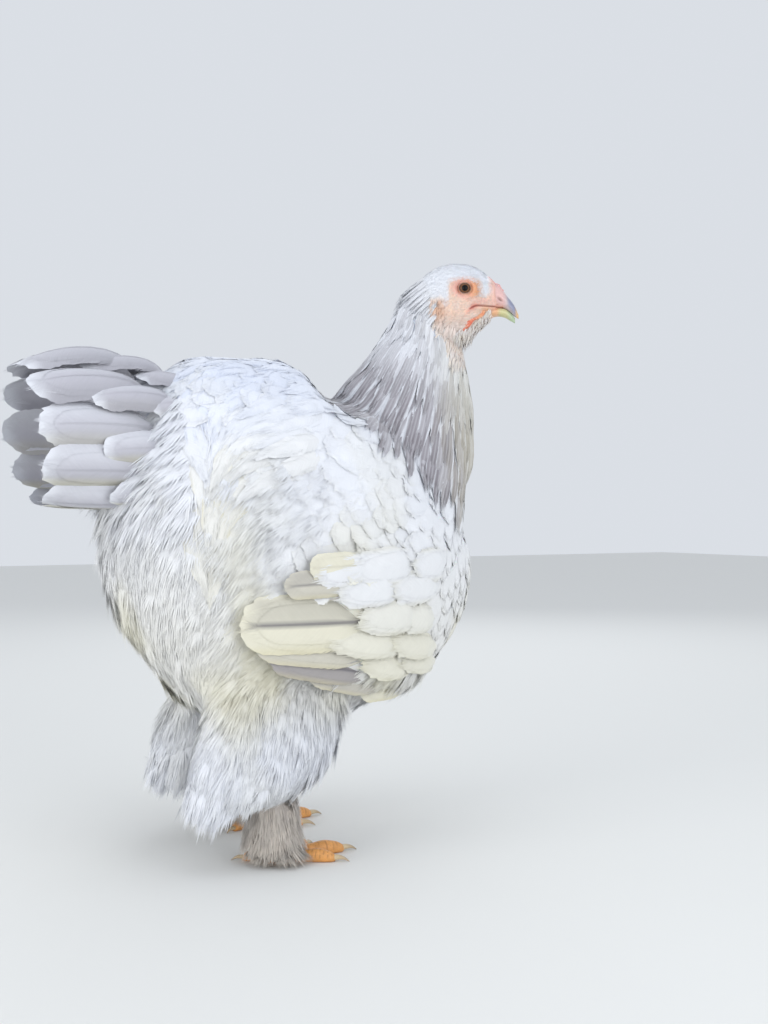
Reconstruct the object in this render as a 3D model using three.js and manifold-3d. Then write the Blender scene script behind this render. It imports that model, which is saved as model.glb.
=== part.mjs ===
import * as THREE from "three";
import { mergeVertices } from "three/addons/utils/BufferGeometryUtils.js";
import Module from "manifold-3d";

// A standing brahma pullet at life size, in millimetres.
// X runs forward along the body, Y to the bird's left and Z up. The soles are at Z = 0.

const wasm = await Module();
wasm.setup();

// Driving dimensions
const GAP = 0.35; // between neighbouring solids
const VANE = 0.9; // thickness of a feather's vane
const RIGHT = -1;
const LEFT = 1;
const SIDES = [
  ["right", RIGHT],
  ["left", LEFT],
];
// How each leg stands: the hock and the foot forward, and how far out of the middle they are
const STANCE = {
  right: { hock: 0, foot: -32, hockOut: 74, footOut: 66 },
  left: { hock: 18, foot: 0, hockOut: 68, footOut: 54 },
};

const V = (x, y, z) => new THREE.Vector3(x, y, z);
const deg = THREE.MathUtils.degToRad;
const lerp = THREE.MathUtils.lerp;
const clamp = THREE.MathUtils.clamp;

// A smooth line through (xs, ys) that never overshoots them.
function curve(xs, ys) {
  const slope = xs.map((x, i) => {
    if (i === 0 || i === xs.length - 1) return 0;
    const before = (ys[i] - ys[i - 1]) / (x - xs[i - 1]);
    const after = (ys[i + 1] - ys[i]) / (xs[i + 1] - x);
    return before * after <= 0 ? 0 : (2 * before * after) / (before + after);
  });
  slope[0] = (ys[1] - ys[0]) / (xs[1] - xs[0]);
  const last = xs.length - 1;
  slope[last] = (ys[last] - ys[last - 1]) / (xs[last] - xs[last - 1]);
  return (x) => {
    const i = clamp(xs.findIndex((value) => value > x) - 1, 0, last - 1);
    const k = x >= xs[last] ? last - 1 : i;
    const span = xs[k + 1] - xs[k];
    const t = (x - xs[k]) / span;
    if (t < 0) return ys[0] + slope[0] * (x - xs[0]);
    if (t > 1) return ys[last] + slope[last] * (x - xs[last]);
    const s = t * t * (3 - 2 * t);
    return (
      ys[k] * (1 - s) +
      ys[k + 1] * s +
      span * (slope[k] * t * (1 - t) ** 2 - slope[k + 1] * t * t * (1 - t))
    );
  };
}

// Solids

function toSolid(points, faces) {
  const geometry = new THREE.BufferGeometry();
  geometry.setAttribute("position", new THREE.Float32BufferAttribute(points.flatMap((p) => [p.x, p.y, p.z]), 3));
  geometry.setIndex(faces);
  const merged = mergeVertices(geometry, 1e-3);
  const triVerts = new Uint32Array(merged.index.array);
  const vertProperties = merged.attributes.position.array;
  const made = new wasm.Manifold(new wasm.Mesh({ numProp: 3, vertProperties, triVerts }));
  if (made.volume() >= 0) return made;
  for (let i = 0; i < triVerts.length; i += 3) triVerts.subarray(i, i + 2).reverse();
  return new wasm.Manifold(new wasm.Mesh({ numProp: 3, vertProperties, triVerts }));
}

// A closed skin over rings of points, with a point in the middle of each end.
function loft(rings) {
  const n = rings[0].length;
  const points = rings.flat();
  const faces = [];
  for (let i = 0; i + 1 < rings.length; i++)
    for (let k = 0; k < n; k++) {
      const a = i * n + k;
      const b = i * n + ((k + 1) % n);
      faces.push(a, b, b + n, a, b + n, a + n);
    }
  const middle = (ring) => ring.reduce((sum, p) => sum.add(p), V(0, 0, 0)).divideScalar(n);
  const first = points.push(middle(rings[0])) - 1;
  const last = points.push(middle(rings.at(-1))) - 1;
  const top = (rings.length - 1) * n;
  for (let k = 0; k < n; k++) {
    faces.push(first, (k + 1) % n, k);
    faces.push(last, top + k, top + ((k + 1) % n));
  }
  return toSolid(points, faces);
}

// A feather's vane: a thin strip through stations { at, side, up, half }, where side points across it and up
// out of its upper face. Both faces are split into triangles alike.
function strip(stations, thick = VANE) {
  const corners = [
    [1, 1],
    [-1, 1],
    [-1, -1],
    [1, -1],
  ];
  const points = stations.flatMap(({ at, side, up, half }) =>
    corners.map(([edge, face]) =>
      at
        .clone()
        .addScaledVector(side, edge * half)
        .addScaledVector(up, (face * thick) / 2),
    ),
  );
  const faces = [0, 1, 2, 0, 2, 3];
  for (let i = 0; i + 1 < stations.length; i++) {
    const [a, b, c, d, e, f, g, h] = [0, 1, 2, 3, 4, 5, 6, 7].map((k) => 4 * i + k);
    faces.push(a, e, f, a, f, b); // upper face
    faces.push(c, g, d, g, h, d); // lower face
    faces.push(b, f, g, b, g, c, d, h, e, d, e, a); // edges
  }
  const end = 4 * (stations.length - 1);
  faces.push(end, end + 2, end + 1, end, end + 3, end + 2);
  return toSolid(points, faces);
}

// How wide a feather is along its length, as shares of its widest half: round-ended and lance-shaped
const ROUND = { along: [0, 0.4, 0.82, 1], half: [0.5, 1, 0.92, 0.4] };
const LANCE = { along: [0, 0.35, 0.72, 1], half: [0.5, 1, 0.8, 0.16] };
const STAGGER = 1.7; // how much higher every other feather of a row lies
const ROOT_DEPTH = 5; // how far below the skin a wing feather's root is sunk
const DEEP_ROOT = 9; // the same for the tail and the hackle, whose cores lie deeper

// A feather on a surface. surface(a, b, h) gives a point h above it, route(t) gives [a, b] from root to tip,
// and lift holds its height at the root, a quarter of the way and the tip.
function feather(surface, route, { half, lift, shape = ROUND }) {
  const height = curve([0, 0.25, 1], lift);
  const place = (t) => surface(...route(t), height(t));
  const NEAR = 0.02; // how far along either way the feather's direction is read
  const stations = shape.along.map((t, i) => {
    const at = place(t);
    const ahead = place(Math.min(t + NEAR, 1)).sub(place(Math.max(t - NEAR, 0))).normalize();
    const out = surface(...route(t), height(t) + 1).sub(at);
    const side = ahead.clone().cross(out).normalize();
    return { at, side, up: side.clone().cross(ahead), half: half * shape.half[i] };
  });
  return strip(stations);
}

// A feather through three points, where out is the way that its upper face looks.
function plume(from, bend, to, out, half, shape = LANCE) {
  const line = new THREE.QuadraticBezierCurve3(from, bend, to);
  const stations = shape.along.map((t, i) => {
    const ahead = line.getTangent(t);
    const side = ahead.clone().cross(out).normalize();
    return { at: line.getPoint(t), side, up: side.clone().cross(ahead), half: half * shape.half[i] };
  });
  return strip(stations);
}

const fuse = (solids) => wasm.Manifold.union(solids);
const largest = (solid) => solid.decompose().reduce((a, b) => (b.volume() > a.volume() ? b : a));
// A core with its feathers, as one closed surface.
const feathered = (cores, vanes) => largest(fuse([...cores, ...vanes]));

// Torso: rings across X, each two half superellipses that meet at the widest level
const BULGE = 2.3; // above 2 it is fuller than an ellipse
const WIDEST = 0.45; // where it is widest, as a share of its height
const TORSO_X = [-160, -152, -136, -110, -74, -18, 42, 96, 142, 176, 196, 204];
const torsoTop = curve(TORSO_X, [276, 330, 386, 426, 443, 445, 424, 390, 350, 316, 284, 260]);
const torsoBottom = curve(TORSO_X, [256, 226, 194, 160, 124, 106, 110, 128, 150, 180, 214, 242]);
const torsoHalf = curve(TORSO_X, [10, 44, 70, 91, 105, 112, 114, 107, 88, 62, 36, 10]);

function torsoSection(x) {
  const top = torsoTop(x);
  const bottom = torsoBottom(x);
  const level = lerp(bottom, top, WIDEST);
  return { level, up: top - level, down: level - bottom, half: torsoHalf(x) };
}

const power = (value, p) => Math.sign(value) * Math.abs(value) ** p;

// The torso's point at x and at an angle in degrees, 0 on its left, 90 on top, 180 on its right, h outside it.
function torso(x, angle, h = 0) {
  const s = torsoSection(x);
  const c = power(Math.cos(deg(angle)), 2 / BULGE);
  const u = power(Math.sin(deg(angle)), 2 / BULGE);
  return V(x, (s.half + h) * c, s.level + ((u > 0 ? s.up : s.down) + h) * u);
}

// Moves a point that lies less than h outside the torso out to that height.
function clearOfTorso(p, h) {
  if (p.x <= TORSO_X[0] || p.x >= TORSO_X.at(-1)) return p;
  const s = torsoSection(p.x);
  const rise = p.z - s.level;
  const deep =
    (Math.abs(p.y / (s.half + h)) ** BULGE + Math.abs(rise / ((rise > 0 ? s.up : s.down) + h)) ** BULGE) **
    (1 / BULGE);
  return deep >= 1 ? p : V(p.x, p.y / deep, s.level + rise / deep);
}

function torsoSolid(grow = 0) {
  const RINGS = 18;
  const AROUND = 24;
  const rings = [];
  for (let i = 0; i <= RINGS; i++) {
    const t = 0.5 - 0.5 * Math.cos((Math.PI * i) / RINGS);
    const x = lerp(TORSO_X[0], TORSO_X.at(-1), t);
    const ring = [];
    for (let k = 0; k < AROUND; k++) {
      const p = torso(x, (k * 360) / AROUND, grow);
      p.x -= grow * Math.cos(Math.PI * t);
      ring.push(p);
    }
    rings.push(ring);
  }
  return loft(rings);
}

const torsoGrown = torsoSolid(GAP);

const X_AXIS = 0;
const Z_AXIS = 2;

// Cuts a solid along a plane across one axis and leaves GAP between the halves.
function split(solid, axis, at) {
  const normal = [0, 0, 0];
  normal[axis] = 1;
  const back = normal.map((n) => -n);
  return {
    above: solid.trimByPlane(normal, at + GAP / 2),
    below: solid.trimByPlane(back, -(at - GAP / 2)),
  };
}

// Where the torso is cut into its parts
const BREAST_FROM = 84;
const SADDLE_FROM = 330;
const FLUFF_TO = -60;
const TAIL_FROM = -114;
const RUMP_FROM = 300;

// Tail: a tent of feathers round an axis that runs back from the rump
const TAIL_ROOT = V(-92, 0, 356);
const TAIL_RISE = 0.09;
const tailWide = curve([0, 60, 150], [48, 58, 66]);
const tailHigh = curve([0, 60, 150], [62, 68, 66]);

// The tail's point u back from its root and at an angle from its ridge, h outside it.
function tailSkin(u, angle, h = 0) {
  const a = deg(angle);
  return V(
    TAIL_ROOT.x - u,
    Math.sin(a) * (tailWide(u) + h),
    TAIL_ROOT.z + u * TAIL_RISE + Math.cos(a) * (tailHigh(u) + h),
  );
}

// From the lowest tier up: feathers on each side, their angles from the ridge, where they start and end, their
// half width and how high they lie
const TAIL_TIERS = [
  { count: 7, first: 7, last: 116, from: 62, to: 142, half: 13, rise: 0.5 },
  { count: 5, first: 12, last: 108, from: 50, to: 118, half: 16, rise: 3.5 },
  { count: 3, first: 12, last: 88, from: 32, to: 88, half: 18, rise: 6.5 },
  { count: 2, first: 17, last: 62, from: 14, to: 56, half: 19, rise: 9.5 },
];

const TAIL_ROUNDING = 20; // how much shorter the lowest feather of a tier is
const TAIL_SPREAD = 0.06; // how much the feathers fan out towards their tips

function tailSolid(rump) {
  const AROUND = 12;
  const coreRings = [
    [23, 0.97],
    [52, 0.95],
    [78, 0.86],
    [96, 0.4],
  ].map(([u, share]) => {
    const ring = [];
    for (let k = 0; k < AROUND; k++) {
      const out = tailSkin(u, (k * 360) / AROUND);
      const axis = V(out.x, 0, TAIL_ROOT.z + u * TAIL_RISE);
      ring.push(axis.lerp(out, share));
    }
    return ring;
  });
  const cores = [rump, loft(coreRings)];
  const made = [];
  for (const { count, first, last, from, to, half, rise } of TAIL_TIERS)
    for (const [, side] of SIDES)
      for (let i = 0; i < count; i++) {
        const t = i / (count - 1);
        const angle = side * lerp(first, last, t);
        const reach = to - TAIL_ROUNDING * t * t;
        const route = (s) => [lerp(from, reach, s), angle * (1 + TAIL_SPREAD * s)];
        const height = rise + STAGGER * (i % 2);
        made.push(feather(tailSkin, route, { half, lift: [-DEEP_ROOT, height - 1, height] }));
      }
  const bodyBelow = torsoGrown.trimByPlane([0, 0, -1], -RUMP_FROM);
  return split(feathered(cores, made), X_AXIS, TAIL_FROM).below.subtract(bodyBelow);
}

// Neck: rings from a point on its back to one on its front, leaning and sagging at the sides
const NECK_V = [-0.2, 0, 0.2, 0.4, 0.6, 0.8, 1];
const neckBackX = curve(NECK_V, [30, 48, 74, 95, 111, 127, 141]);
const neckBackZ = curve(NECK_V, [400, 408, 428, 450, 472, 494, 516]);
const neckFrontX = curve(NECK_V, [190, 200, 210, 212, 206, 198, 188]);
const neckFrontZ = curve(NECK_V, [290, 316, 352, 392, 426, 456, 480]);
const neckHalf = curve(NECK_V, [90, 80, 66, 50, 38, 30, 24]);
const neckSag = curve(NECK_V, [60, 44, 27, 12, 4, 0, 0]);
const neckTurn = curve(NECK_V, [0, 0, -1, -4, -9, -15, -21]);

// The neck's point at height v and an angle, 0 at its front, 90 on its left, h outside it.
function neckSkin(v, angle, h = 0) {
  const back = V(neckBackX(v), neckTurn(v), neckBackZ(v));
  const front = V(neckFrontX(v), neckTurn(v), neckFrontZ(v));
  const axis = back.clone().lerp(front, 0.5);
  const reach = front.sub(back).multiplyScalar(0.5);
  const a = deg(angle);
  const c = Math.cos(a);
  const s = Math.sin(a);
  const p = axis.addScaledVector(reach, c * (1 + h / reach.length()));
  p.y += s * (neckHalf(v) + h);
  p.z -= neckSag(v) * s * s;
  return p;
}

// From the head down: where the tier starts, how long its feathers are along the neck, how many and how wide
const HACKLE_TIERS = [
  { v: 0.97, length: 0.34, count: 8, half: 8 },
  { v: 0.8, length: 0.36, count: 10, half: 9.5 },
  { v: 0.62, length: 0.38, count: 12, half: 11 },
  { v: 0.42, length: 0.42, count: 13, half: 13 },
];

function neckSolid() {
  const CORE = 0.88; // the core's share of the neck's thickness
  const DRAPED = 3.4; // how far over the torso the ends of the hackle hang
  const RINGS = 6;
  const AROUND = 12;
  const rings = [];
  for (let i = 0; i <= RINGS; i++) {
    const v = lerp(0.02, 1, i / RINGS);
    const axis = neckSkin(v, 0).lerp(neckSkin(v, 180), 0.5);
    const ring = [];
    for (let k = 0; k < AROUND; k++) ring.push(axis.clone().lerp(neckSkin(v, (k * 360) / AROUND), CORE));
    rings.push(ring);
  }
  const core = loft(rings).subtract(torsoGrown);
  const drape = (v, angle, h) => clearOfTorso(neckSkin(v, angle, h), DRAPED + Math.max(h, 0) * 0.4);
  const made = [];
  HACKLE_TIERS.forEach(({ v, length, count, half }, tier) => {
    for (let i = 0; i < count; i++) {
      const angle = ((i + 0.5 * (tier % 2)) * 360) / count;
      const route = (t) => [v - length * t, angle];
      made.push(feather(drape, route, { half, shape: LANCE, lift: [-DEEP_ROOT, -1.5, 3] }));
    }
  });
  return feathered([largest(core)], made).subtract(torsoGrown);
}

// Wings: a pad on the torso's side with tiers of coverts, secondaries and primaries
const WING_FRONT = 154;
const WING_BACK = -24;
const WING_THICK = 13;
const WING_OUT = 6; // how far it stands off the torso
const WING_X = [WING_BACK, 20, 69, 110, 140, WING_FRONT];
const wingLow = curve(WING_X, [174, 152, 138, 141, 172, 206]);
const wingHigh = curve(WING_X, [240, 262, 280, 286, 274, 240]);

// The point of one wing's side at x and z, h outside it. It hangs straighter than the torso's own flank.
const wingSkin = (side) => (x, z, h) => {
  const FLAT_BEHIND = -90; // behind this it runs straight back
  const s = torsoSection(Math.max(x, FLAT_BEHIND));
  const below = clamp((s.level - z) / s.down, 0, 1);
  const above = clamp((z - s.level) / s.up, 0, 1);
  const y = s.half * (1 - 0.42 * below ** 2.4 - 0.5 * above ** 2.2);
  return V(x, side * (y + WING_OUT + h), z);
};

// From the shoulder back: where the row starts, how long, how many, between which heights, how wide and how high
const COVERTS = [
  { x: 142, length: 52, count: 4, low: 190, high: 250, half: 13, rise: 7.4 },
  { x: 110, length: 52, count: 5, low: 158, high: 258, half: 15, rise: 4.6 },
  { x: 74, length: 60, count: 5, low: 158, high: 254, half: 14, rise: 1.8 },
];
const SECONDARIES = 5;
const PRIMARIES = 4;
const PRIMARY_SUNK = 1.6; // how far the primaries lie under the secondaries

function wingSolid(side) {
  const skin = wingSkin(side);
  const rings = [];
  const STATIONS = 7;
  const ACROSS = 4;
  for (let i = 0; i <= STATIONS; i++) {
    const x = lerp(WING_BACK, WING_FRONT, i / STATIONS);
    const thick = WING_THICK * Math.sin(Math.PI * lerp(0.12, 0.9, i / STATIONS));
    const ring = [];
    for (const face of [1, -1])
      for (let k = 0; k <= ACROSS; k++) {
        const share = (face === 1 ? k : ACROSS - k) / ACROSS;
        const z = lerp(wingLow(x), wingHigh(x), 0.5 - 0.5 * Math.cos(Math.PI * share));
        const deep = thick * lerp(0.35, 1, Math.sin(Math.PI * share));
        ring.push(skin(x, z, face === 1 ? 0 : -deep));
      }
    rings.push(ring);
  }
  const pad = largest(loft(rings).subtract(torsoGrown));
  const made = [];
  const add = (from, to, half, lift) => {
    const route = (t) => [lerp(from[0], to[0], t), lerp(from[1], to[1], t)];
    made.push(feather(skin, route, { half, lift }));
  };
  for (let i = 0; i < PRIMARIES; i++) {
    const t = i / (PRIMARIES - 1);
    const height = STAGGER * (i % 2) - PRIMARY_SUNK;
    add([52 - 16 * t, 150 + 22 * t], [2 - 68 * t, 152 + 42 * t], 8, [-ROOT_DEPTH, height, height]);
  }
  for (let i = 0; i < SECONDARIES; i++) {
    const t = i / (SECONDARIES - 1);
    const height = STAGGER * (i % 2);
    add([10, 186 + 64 * t], [-78 + 22 * t, 204 + 46 * t], 10, [-ROOT_DEPTH, height, height]);
  }
  for (const { x, length, count, low, high, half, rise } of COVERTS)
    for (let i = 0; i < count; i++) {
      const z = lerp(low, high, i / (count - 1));
      const middle = (low + high) / 2;
      const height = rise + STAGGER * (i % 2);
      add([x, z], [x - length, lerp(z, middle, 0.1)], half, [-ROOT_DEPTH, height - 1, height]);
    }
  return feathered([pad], made);
}

// Legs: a downy thigh, a feathered shank and four toes with claws
const THIGH_Z = [50, 58, 72, 98, 130, 165, 200];
const thighX = curve(THIGH_Z, [-74, -62, -54, -42, -31, -22, -14]);
const thighIn = curve(THIGH_Z, [0, 0, 0, 2, 8, 16, 22]); // how far it leans in over the hock
const thighLong = curve(THIGH_Z, [16, 46, 61, 67, 66, 62, 56]);
const thighWide = curve(THIGH_Z, [12, 26, 34, 38, 32, 26, 20]);

const thighSkin = (side, { hock, hockOut }) => (z, angle, h) =>
  V(
    hock + thighX(z) + Math.cos(deg(angle)) * (thighLong(z) + h),
    side * (hockOut - thighIn(z) + Math.sin(deg(angle)) * (thighWide(z) + h)),
    z,
  );

function thighSolid(side, stance) {
  const skin = thighSkin(side, stance);
  const AROUND = 12;
  const rings = [50, 54, 64, 82, 108, 140, 200].map((z) => {
    const ring = [];
    for (let k = 0; k < AROUND; k++) ring.push(skin(z, (k * 360) / AROUND, 0));
    return ring;
  });
  const made = [];
  const LOCKS = 6;
  const LOCK_Z = { from: 104, bend: 78, to: 60 };
  for (let i = 0; i < LOCKS; i++) {
    const angle = lerp(60, 225, i / (LOCKS - 1));
    const backward = Math.max(0, -Math.cos(deg(angle)));
    const from = skin(LOCK_Z.from, angle, -5);
    const bend = skin(LOCK_Z.bend, angle, 7);
    const to = skin(LOCK_Z.to, angle, -1).setZ(lerp(50, 35, backward));
    const out = bend.clone().sub(skin(LOCK_Z.bend, angle, 0));
    made.push(plume(from, bend, to, out, 13));
  }
  return largest(feathered([loft(rings)], made).subtract(torsoGrown));
}

const HOCK_RISE = 72;
const SHANK_BEHIND = 38; // how far behind the thigh's own line the shank starts

// A level ring round a point.
function roundRing(middle, radius) {
  const AROUND = 10;
  const ring = [];
  for (let k = 0; k < AROUND; k++) {
    const a = (2 * Math.PI * k) / AROUND;
    ring.push(V(middle.x + radius * Math.cos(a), middle.y + radius * Math.sin(a), middle.z));
  }
  return ring;
}

function shankSolid(side, { hock, foot, hockOut, footOut }, thighs) {
  const top = V(hock - SHANK_BEHIND, side * hockOut, HOCK_RISE);
  const sole = V(foot, side * footOut, 0);
  const at = (z) => sole.clone().lerp(top, z / HOCK_RISE);
  const rings = [
    [17, 9],
    [30, 8],
    [46, 8.5],
    [60, 10],
    [70, 11],
  ].map(([z, radius]) => roundRing(at(z), radius));
  const made = [];
  const LOCKS = 8;
  for (let i = 0; i < LOCKS; i++) {
    const a = deg(lerp(-60, 225, i / (LOCKS - 1)));
    const odd = i % 2;
    const high = 62 - 14 * odd;
    const out = V(Math.cos(a), side * Math.sin(a), 0);
    const from = at(high).addScaledVector(out, 4);
    const bend = at(high - 16).addScaledVector(out, 19 + 3 * odd);
    const to = at(21).addScaledVector(out, 22 + 3 * odd);
    made.push(plume(from, bend, to, out, 7));
  }
  return largest(feathered([loft(rings)], made).subtract(thighs));
}

// Toes, with their turn from straight ahead in degrees
const TOES = [
  { name: "outer", turn: -34, length: 54, thick: 6.2, claw: 12 },
  { name: "middle", turn: -4, length: 66, thick: 6.6, claw: 13 },
  { name: "inner", turn: 30, length: 50, thick: 6.2, claw: 12 },
  { name: "hind", turn: 152, length: 27, thick: 5, claw: 10 },
];

// A toe, a claw or the pad between them: a tube through points on the floor, with a flat underside.
function flatTube(points, radii, around = 8, sunk = 0.75) {
  const rings = points.map((p, i) => {
    const before = points[Math.max(i - 1, 0)];
    const after = points[Math.min(i + 1, points.length - 1)];
    const ahead = after.clone().sub(before).setZ(0).normalize();
    const side = V(-ahead.y, ahead.x, 0);
    const r = radii[i];
    const ring = [];
    for (let k = 0; k < around; k++) {
      const a = ((k + 0.5) * 2 * Math.PI) / around;
      ring.push(
        p
          .clone()
          .addScaledVector(side, r * Math.cos(a))
          .setZ(p.z + r * Math.max(Math.sin(a) + sunk, 0)),
      );
    }
    return ring;
  });
  return loft(rings);
}

function footSolids(side, { foot, footOut }) {
  const middle = V(foot, side * footOut, 0);
  const padPoints = [-11, -8, 0, 8, 11].map((x) => middle.clone().add(V(x, 0, 0)));
  const pad = flatTube(padPoints, [4, 9, 11, 9, 4], 10, 0.3);
  const stem = loft([2, 8, 16.6].map((z) => roundRing(middle.clone().add(V(-0.6, 0, z)), 9)));
  const made = [pad, stem];
  const claws = [];
  const along = [0.06, 0.36, 0.5, 0.7, 0.9, 1];
  const swell = [1, 1.1, 0.9, 1.02, 0.82, 0.5];
  const clawRise = [1.6, 1.8, 0.3];
  for (const { name, turn, length, thick, claw } of TOES) {
    const a = deg(turn);
    const ahead = V(Math.cos(a), side * -Math.sin(a), 0);
    const point = (d) => middle.clone().addScaledVector(ahead, d);
    made.push(
      flatTube(
        along.map((share) => point(share * length)),
        swell.map((share) => share * thick),
      ),
    );
    const clawPoints = clawRise.map((z, i) => point(lerp(length + GAP, length + claw, i / 2)).setZ(z));
    claws.push([name, flatTube(clawPoints, [thick * 0.42, thick * 0.3, 0.5], 6)]);
  }
  const FANNED = 5;
  for (let i = 0; i < FANNED; i++) {
    const t = i / (FANNED - 1);
    const a = deg(lerp(12, 178, t));
    const out = V(Math.cos(a), side * Math.sin(a), 0);
    const reach = lerp(40, 29, Math.abs(t - 0.4) / 0.6);
    const from = middle.clone().addScaledVector(out, 4).setZ(11);
    const bend = middle.clone().addScaledVector(out, reach * 0.6).setZ(15);
    const to = middle.clone().addScaledVector(out, reach).setZ(2.2);
    made.push(plume(from, bend, to, V(0, 0, 1), 9, ROUND));
  }
  return { sole: largest(fuse(made)), claws };
}

// Head, in its own frame: X' towards the beak, Z' up, the eyes at the origin's level
const HEAD_AT = V(190, -29, 522);
const HEAD_TURN = deg(-30);
const HEAD_X = [-44, -36, -24, -10, 4, 16, 26, 34, 40];
const headTop = curve(HEAD_X, [4, 13, 20, 23, 22, 17, 9, 0, -8]);
const headBottom = curve(HEAD_X, [-24, -34, -42, -42, -37, -31, -28, -26, -23]);
const headHalf = curve(HEAD_X, [10, 17, 20, 21, 19.5, 16, 12, 9, 6]);
const EYE = { x: 0, z: -2, radius: 7, out: 13.6 };
const EAR = { x: -27, z: -17, out: 20.2 };
const LOBE = { x: -22, z: -27, out: 19 };

function headSolid(grow = 0) {
  const rings = [];
  const RINGS = 10;
  const AROUND = 16;
  const LEVEL = 0.55; // where the head is widest, as a share of its height
  for (let i = 0; i <= RINGS; i++) {
    const t = i / RINGS;
    const x = lerp(HEAD_X[0], HEAD_X.at(-1), t);
    const top = headTop(x) + grow;
    const bottom = headBottom(x) - grow;
    const level = lerp(bottom, top, LEVEL);
    const ring = [];
    for (let k = 0; k < AROUND; k++) {
      const a = (2 * Math.PI * k) / AROUND;
      const u = power(Math.sin(a), 2 / BULGE);
      const y = (headHalf(x) + grow) * power(Math.cos(a), 2 / BULGE);
      ring.push(V(x + grow * (2 * t - 1), y, level + (u > 0 ? top - level : level - bottom) * u));
    }
    rings.push(ring);
  }
  return loft(rings);
}

// One closed surface from a three.js geometry.
function fromGeometry(geometry) {
  geometry.deleteAttribute("normal");
  geometry.deleteAttribute("uv");
  const merged = mergeVertices(geometry, 1e-3);
  const points = [];
  for (let i = 0; i < merged.attributes.position.count; i++)
    points.push(new THREE.Vector3().fromBufferAttribute(merged.attributes.position, i));
  return toSolid(points, [...merged.index.array]);
}

function ball(at, radii, around) {
  const geometry = new THREE.SphereGeometry(1, around, Math.round(around * 0.7));
  geometry.scale(...radii);
  geometry.translate(at.x, at.y, at.z);
  return fromGeometry(geometry);
}

// A ring that lies on the side of the head: an eyelid's rim or the edge of an ear.
function rim(at, long, high, tube, side) {
  const TOED_IN = 0.12; // its turn, in radians, with the head's side
  const geometry = new THREE.TorusGeometry(1, tube, 3, 10);
  geometry.scale(long, high, 1);
  geometry.rotateX(Math.PI / 2);
  geometry.rotateZ(side * TOED_IN);
  geometry.translate(at.x, at.y, at.z);
  return fromGeometry(geometry);
}

const BEAK_BASE = 31;
const CULMEN_X = [BEAK_BASE, 36, 44, 50, 54];
const culmen = curve(CULMEN_X, [4, 0, -9, -17.5, -28]);
const gape = curve(CULMEN_X, [-19.5, -19.2, -19, -21, -29.5]);
const beakHalf = curve(CULMEN_X, [8.5, 7.4, 5.4, 3.4, 0.7]);

function beakRing(x, top, bottom, half) {
  const AROUND = 10;
  const ring = [];
  for (let k = 0; k < AROUND; k++) {
    const a = (2 * Math.PI * k) / AROUND + Math.PI / 2;
    ring.push(V(x, half * Math.cos(a), (top + bottom) / 2 + ((top - bottom) / 2) * Math.sin(a)));
  }
  return ring;
}

function upperBeak() {
  const rings = [BEAK_BASE, 36, 41, 46, 50, 53, 54].map((x) => beakRing(x, culmen(x), gape(x), beakHalf(x)));
  const nostrils = SIDES.map(([, side]) => ball(V(39, side * 6.4, -10.5), [3, 2.2, 1.5], 6));
  return loft(rings).subtract(fuse(nostrils));
}

function lowerBeak() {
  const top = (x) => Math.min(gape(x) - 0.9, -20);
  const deep = [8.5, 7.5, 6, 4.4, 2];
  const half = [7.4, 6.4, 5, 3.4, 1];
  const rings = [28, 34, 40, 46, 50.5].map((x, i) => beakRing(x, top(x) - 0.3 * i, top(x) - deep[i], half[i]));
  return loft(rings);
}

// Pea comb: three low rows of knobs, the middle one highest
function combSolid(head) {
  const made = [ball(V(27, 0, 5), [10, 4, 5], 8)];
  for (const { offset, rise, size, count } of [
    { offset: 0, rise: 1, size: 2.8, count: 4 },
    { offset: 3, rise: -0.4, size: 2.2, count: 3 },
    { offset: -3, rise: -0.4, size: 2.2, count: 3 },
  ])
    for (let i = 0; i < count; i++) {
      const x = lerp(18, 35, i / (count - 1));
      const z = rise + (x < BEAK_BASE ? headTop(x) : culmen(x));
      made.push(ball(V(x, offset, z), [size, size * 0.8, size * (1.1 - 0.06 * i)], 6));
    }
  return largest(fuse(made).subtract(head));
}

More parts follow.
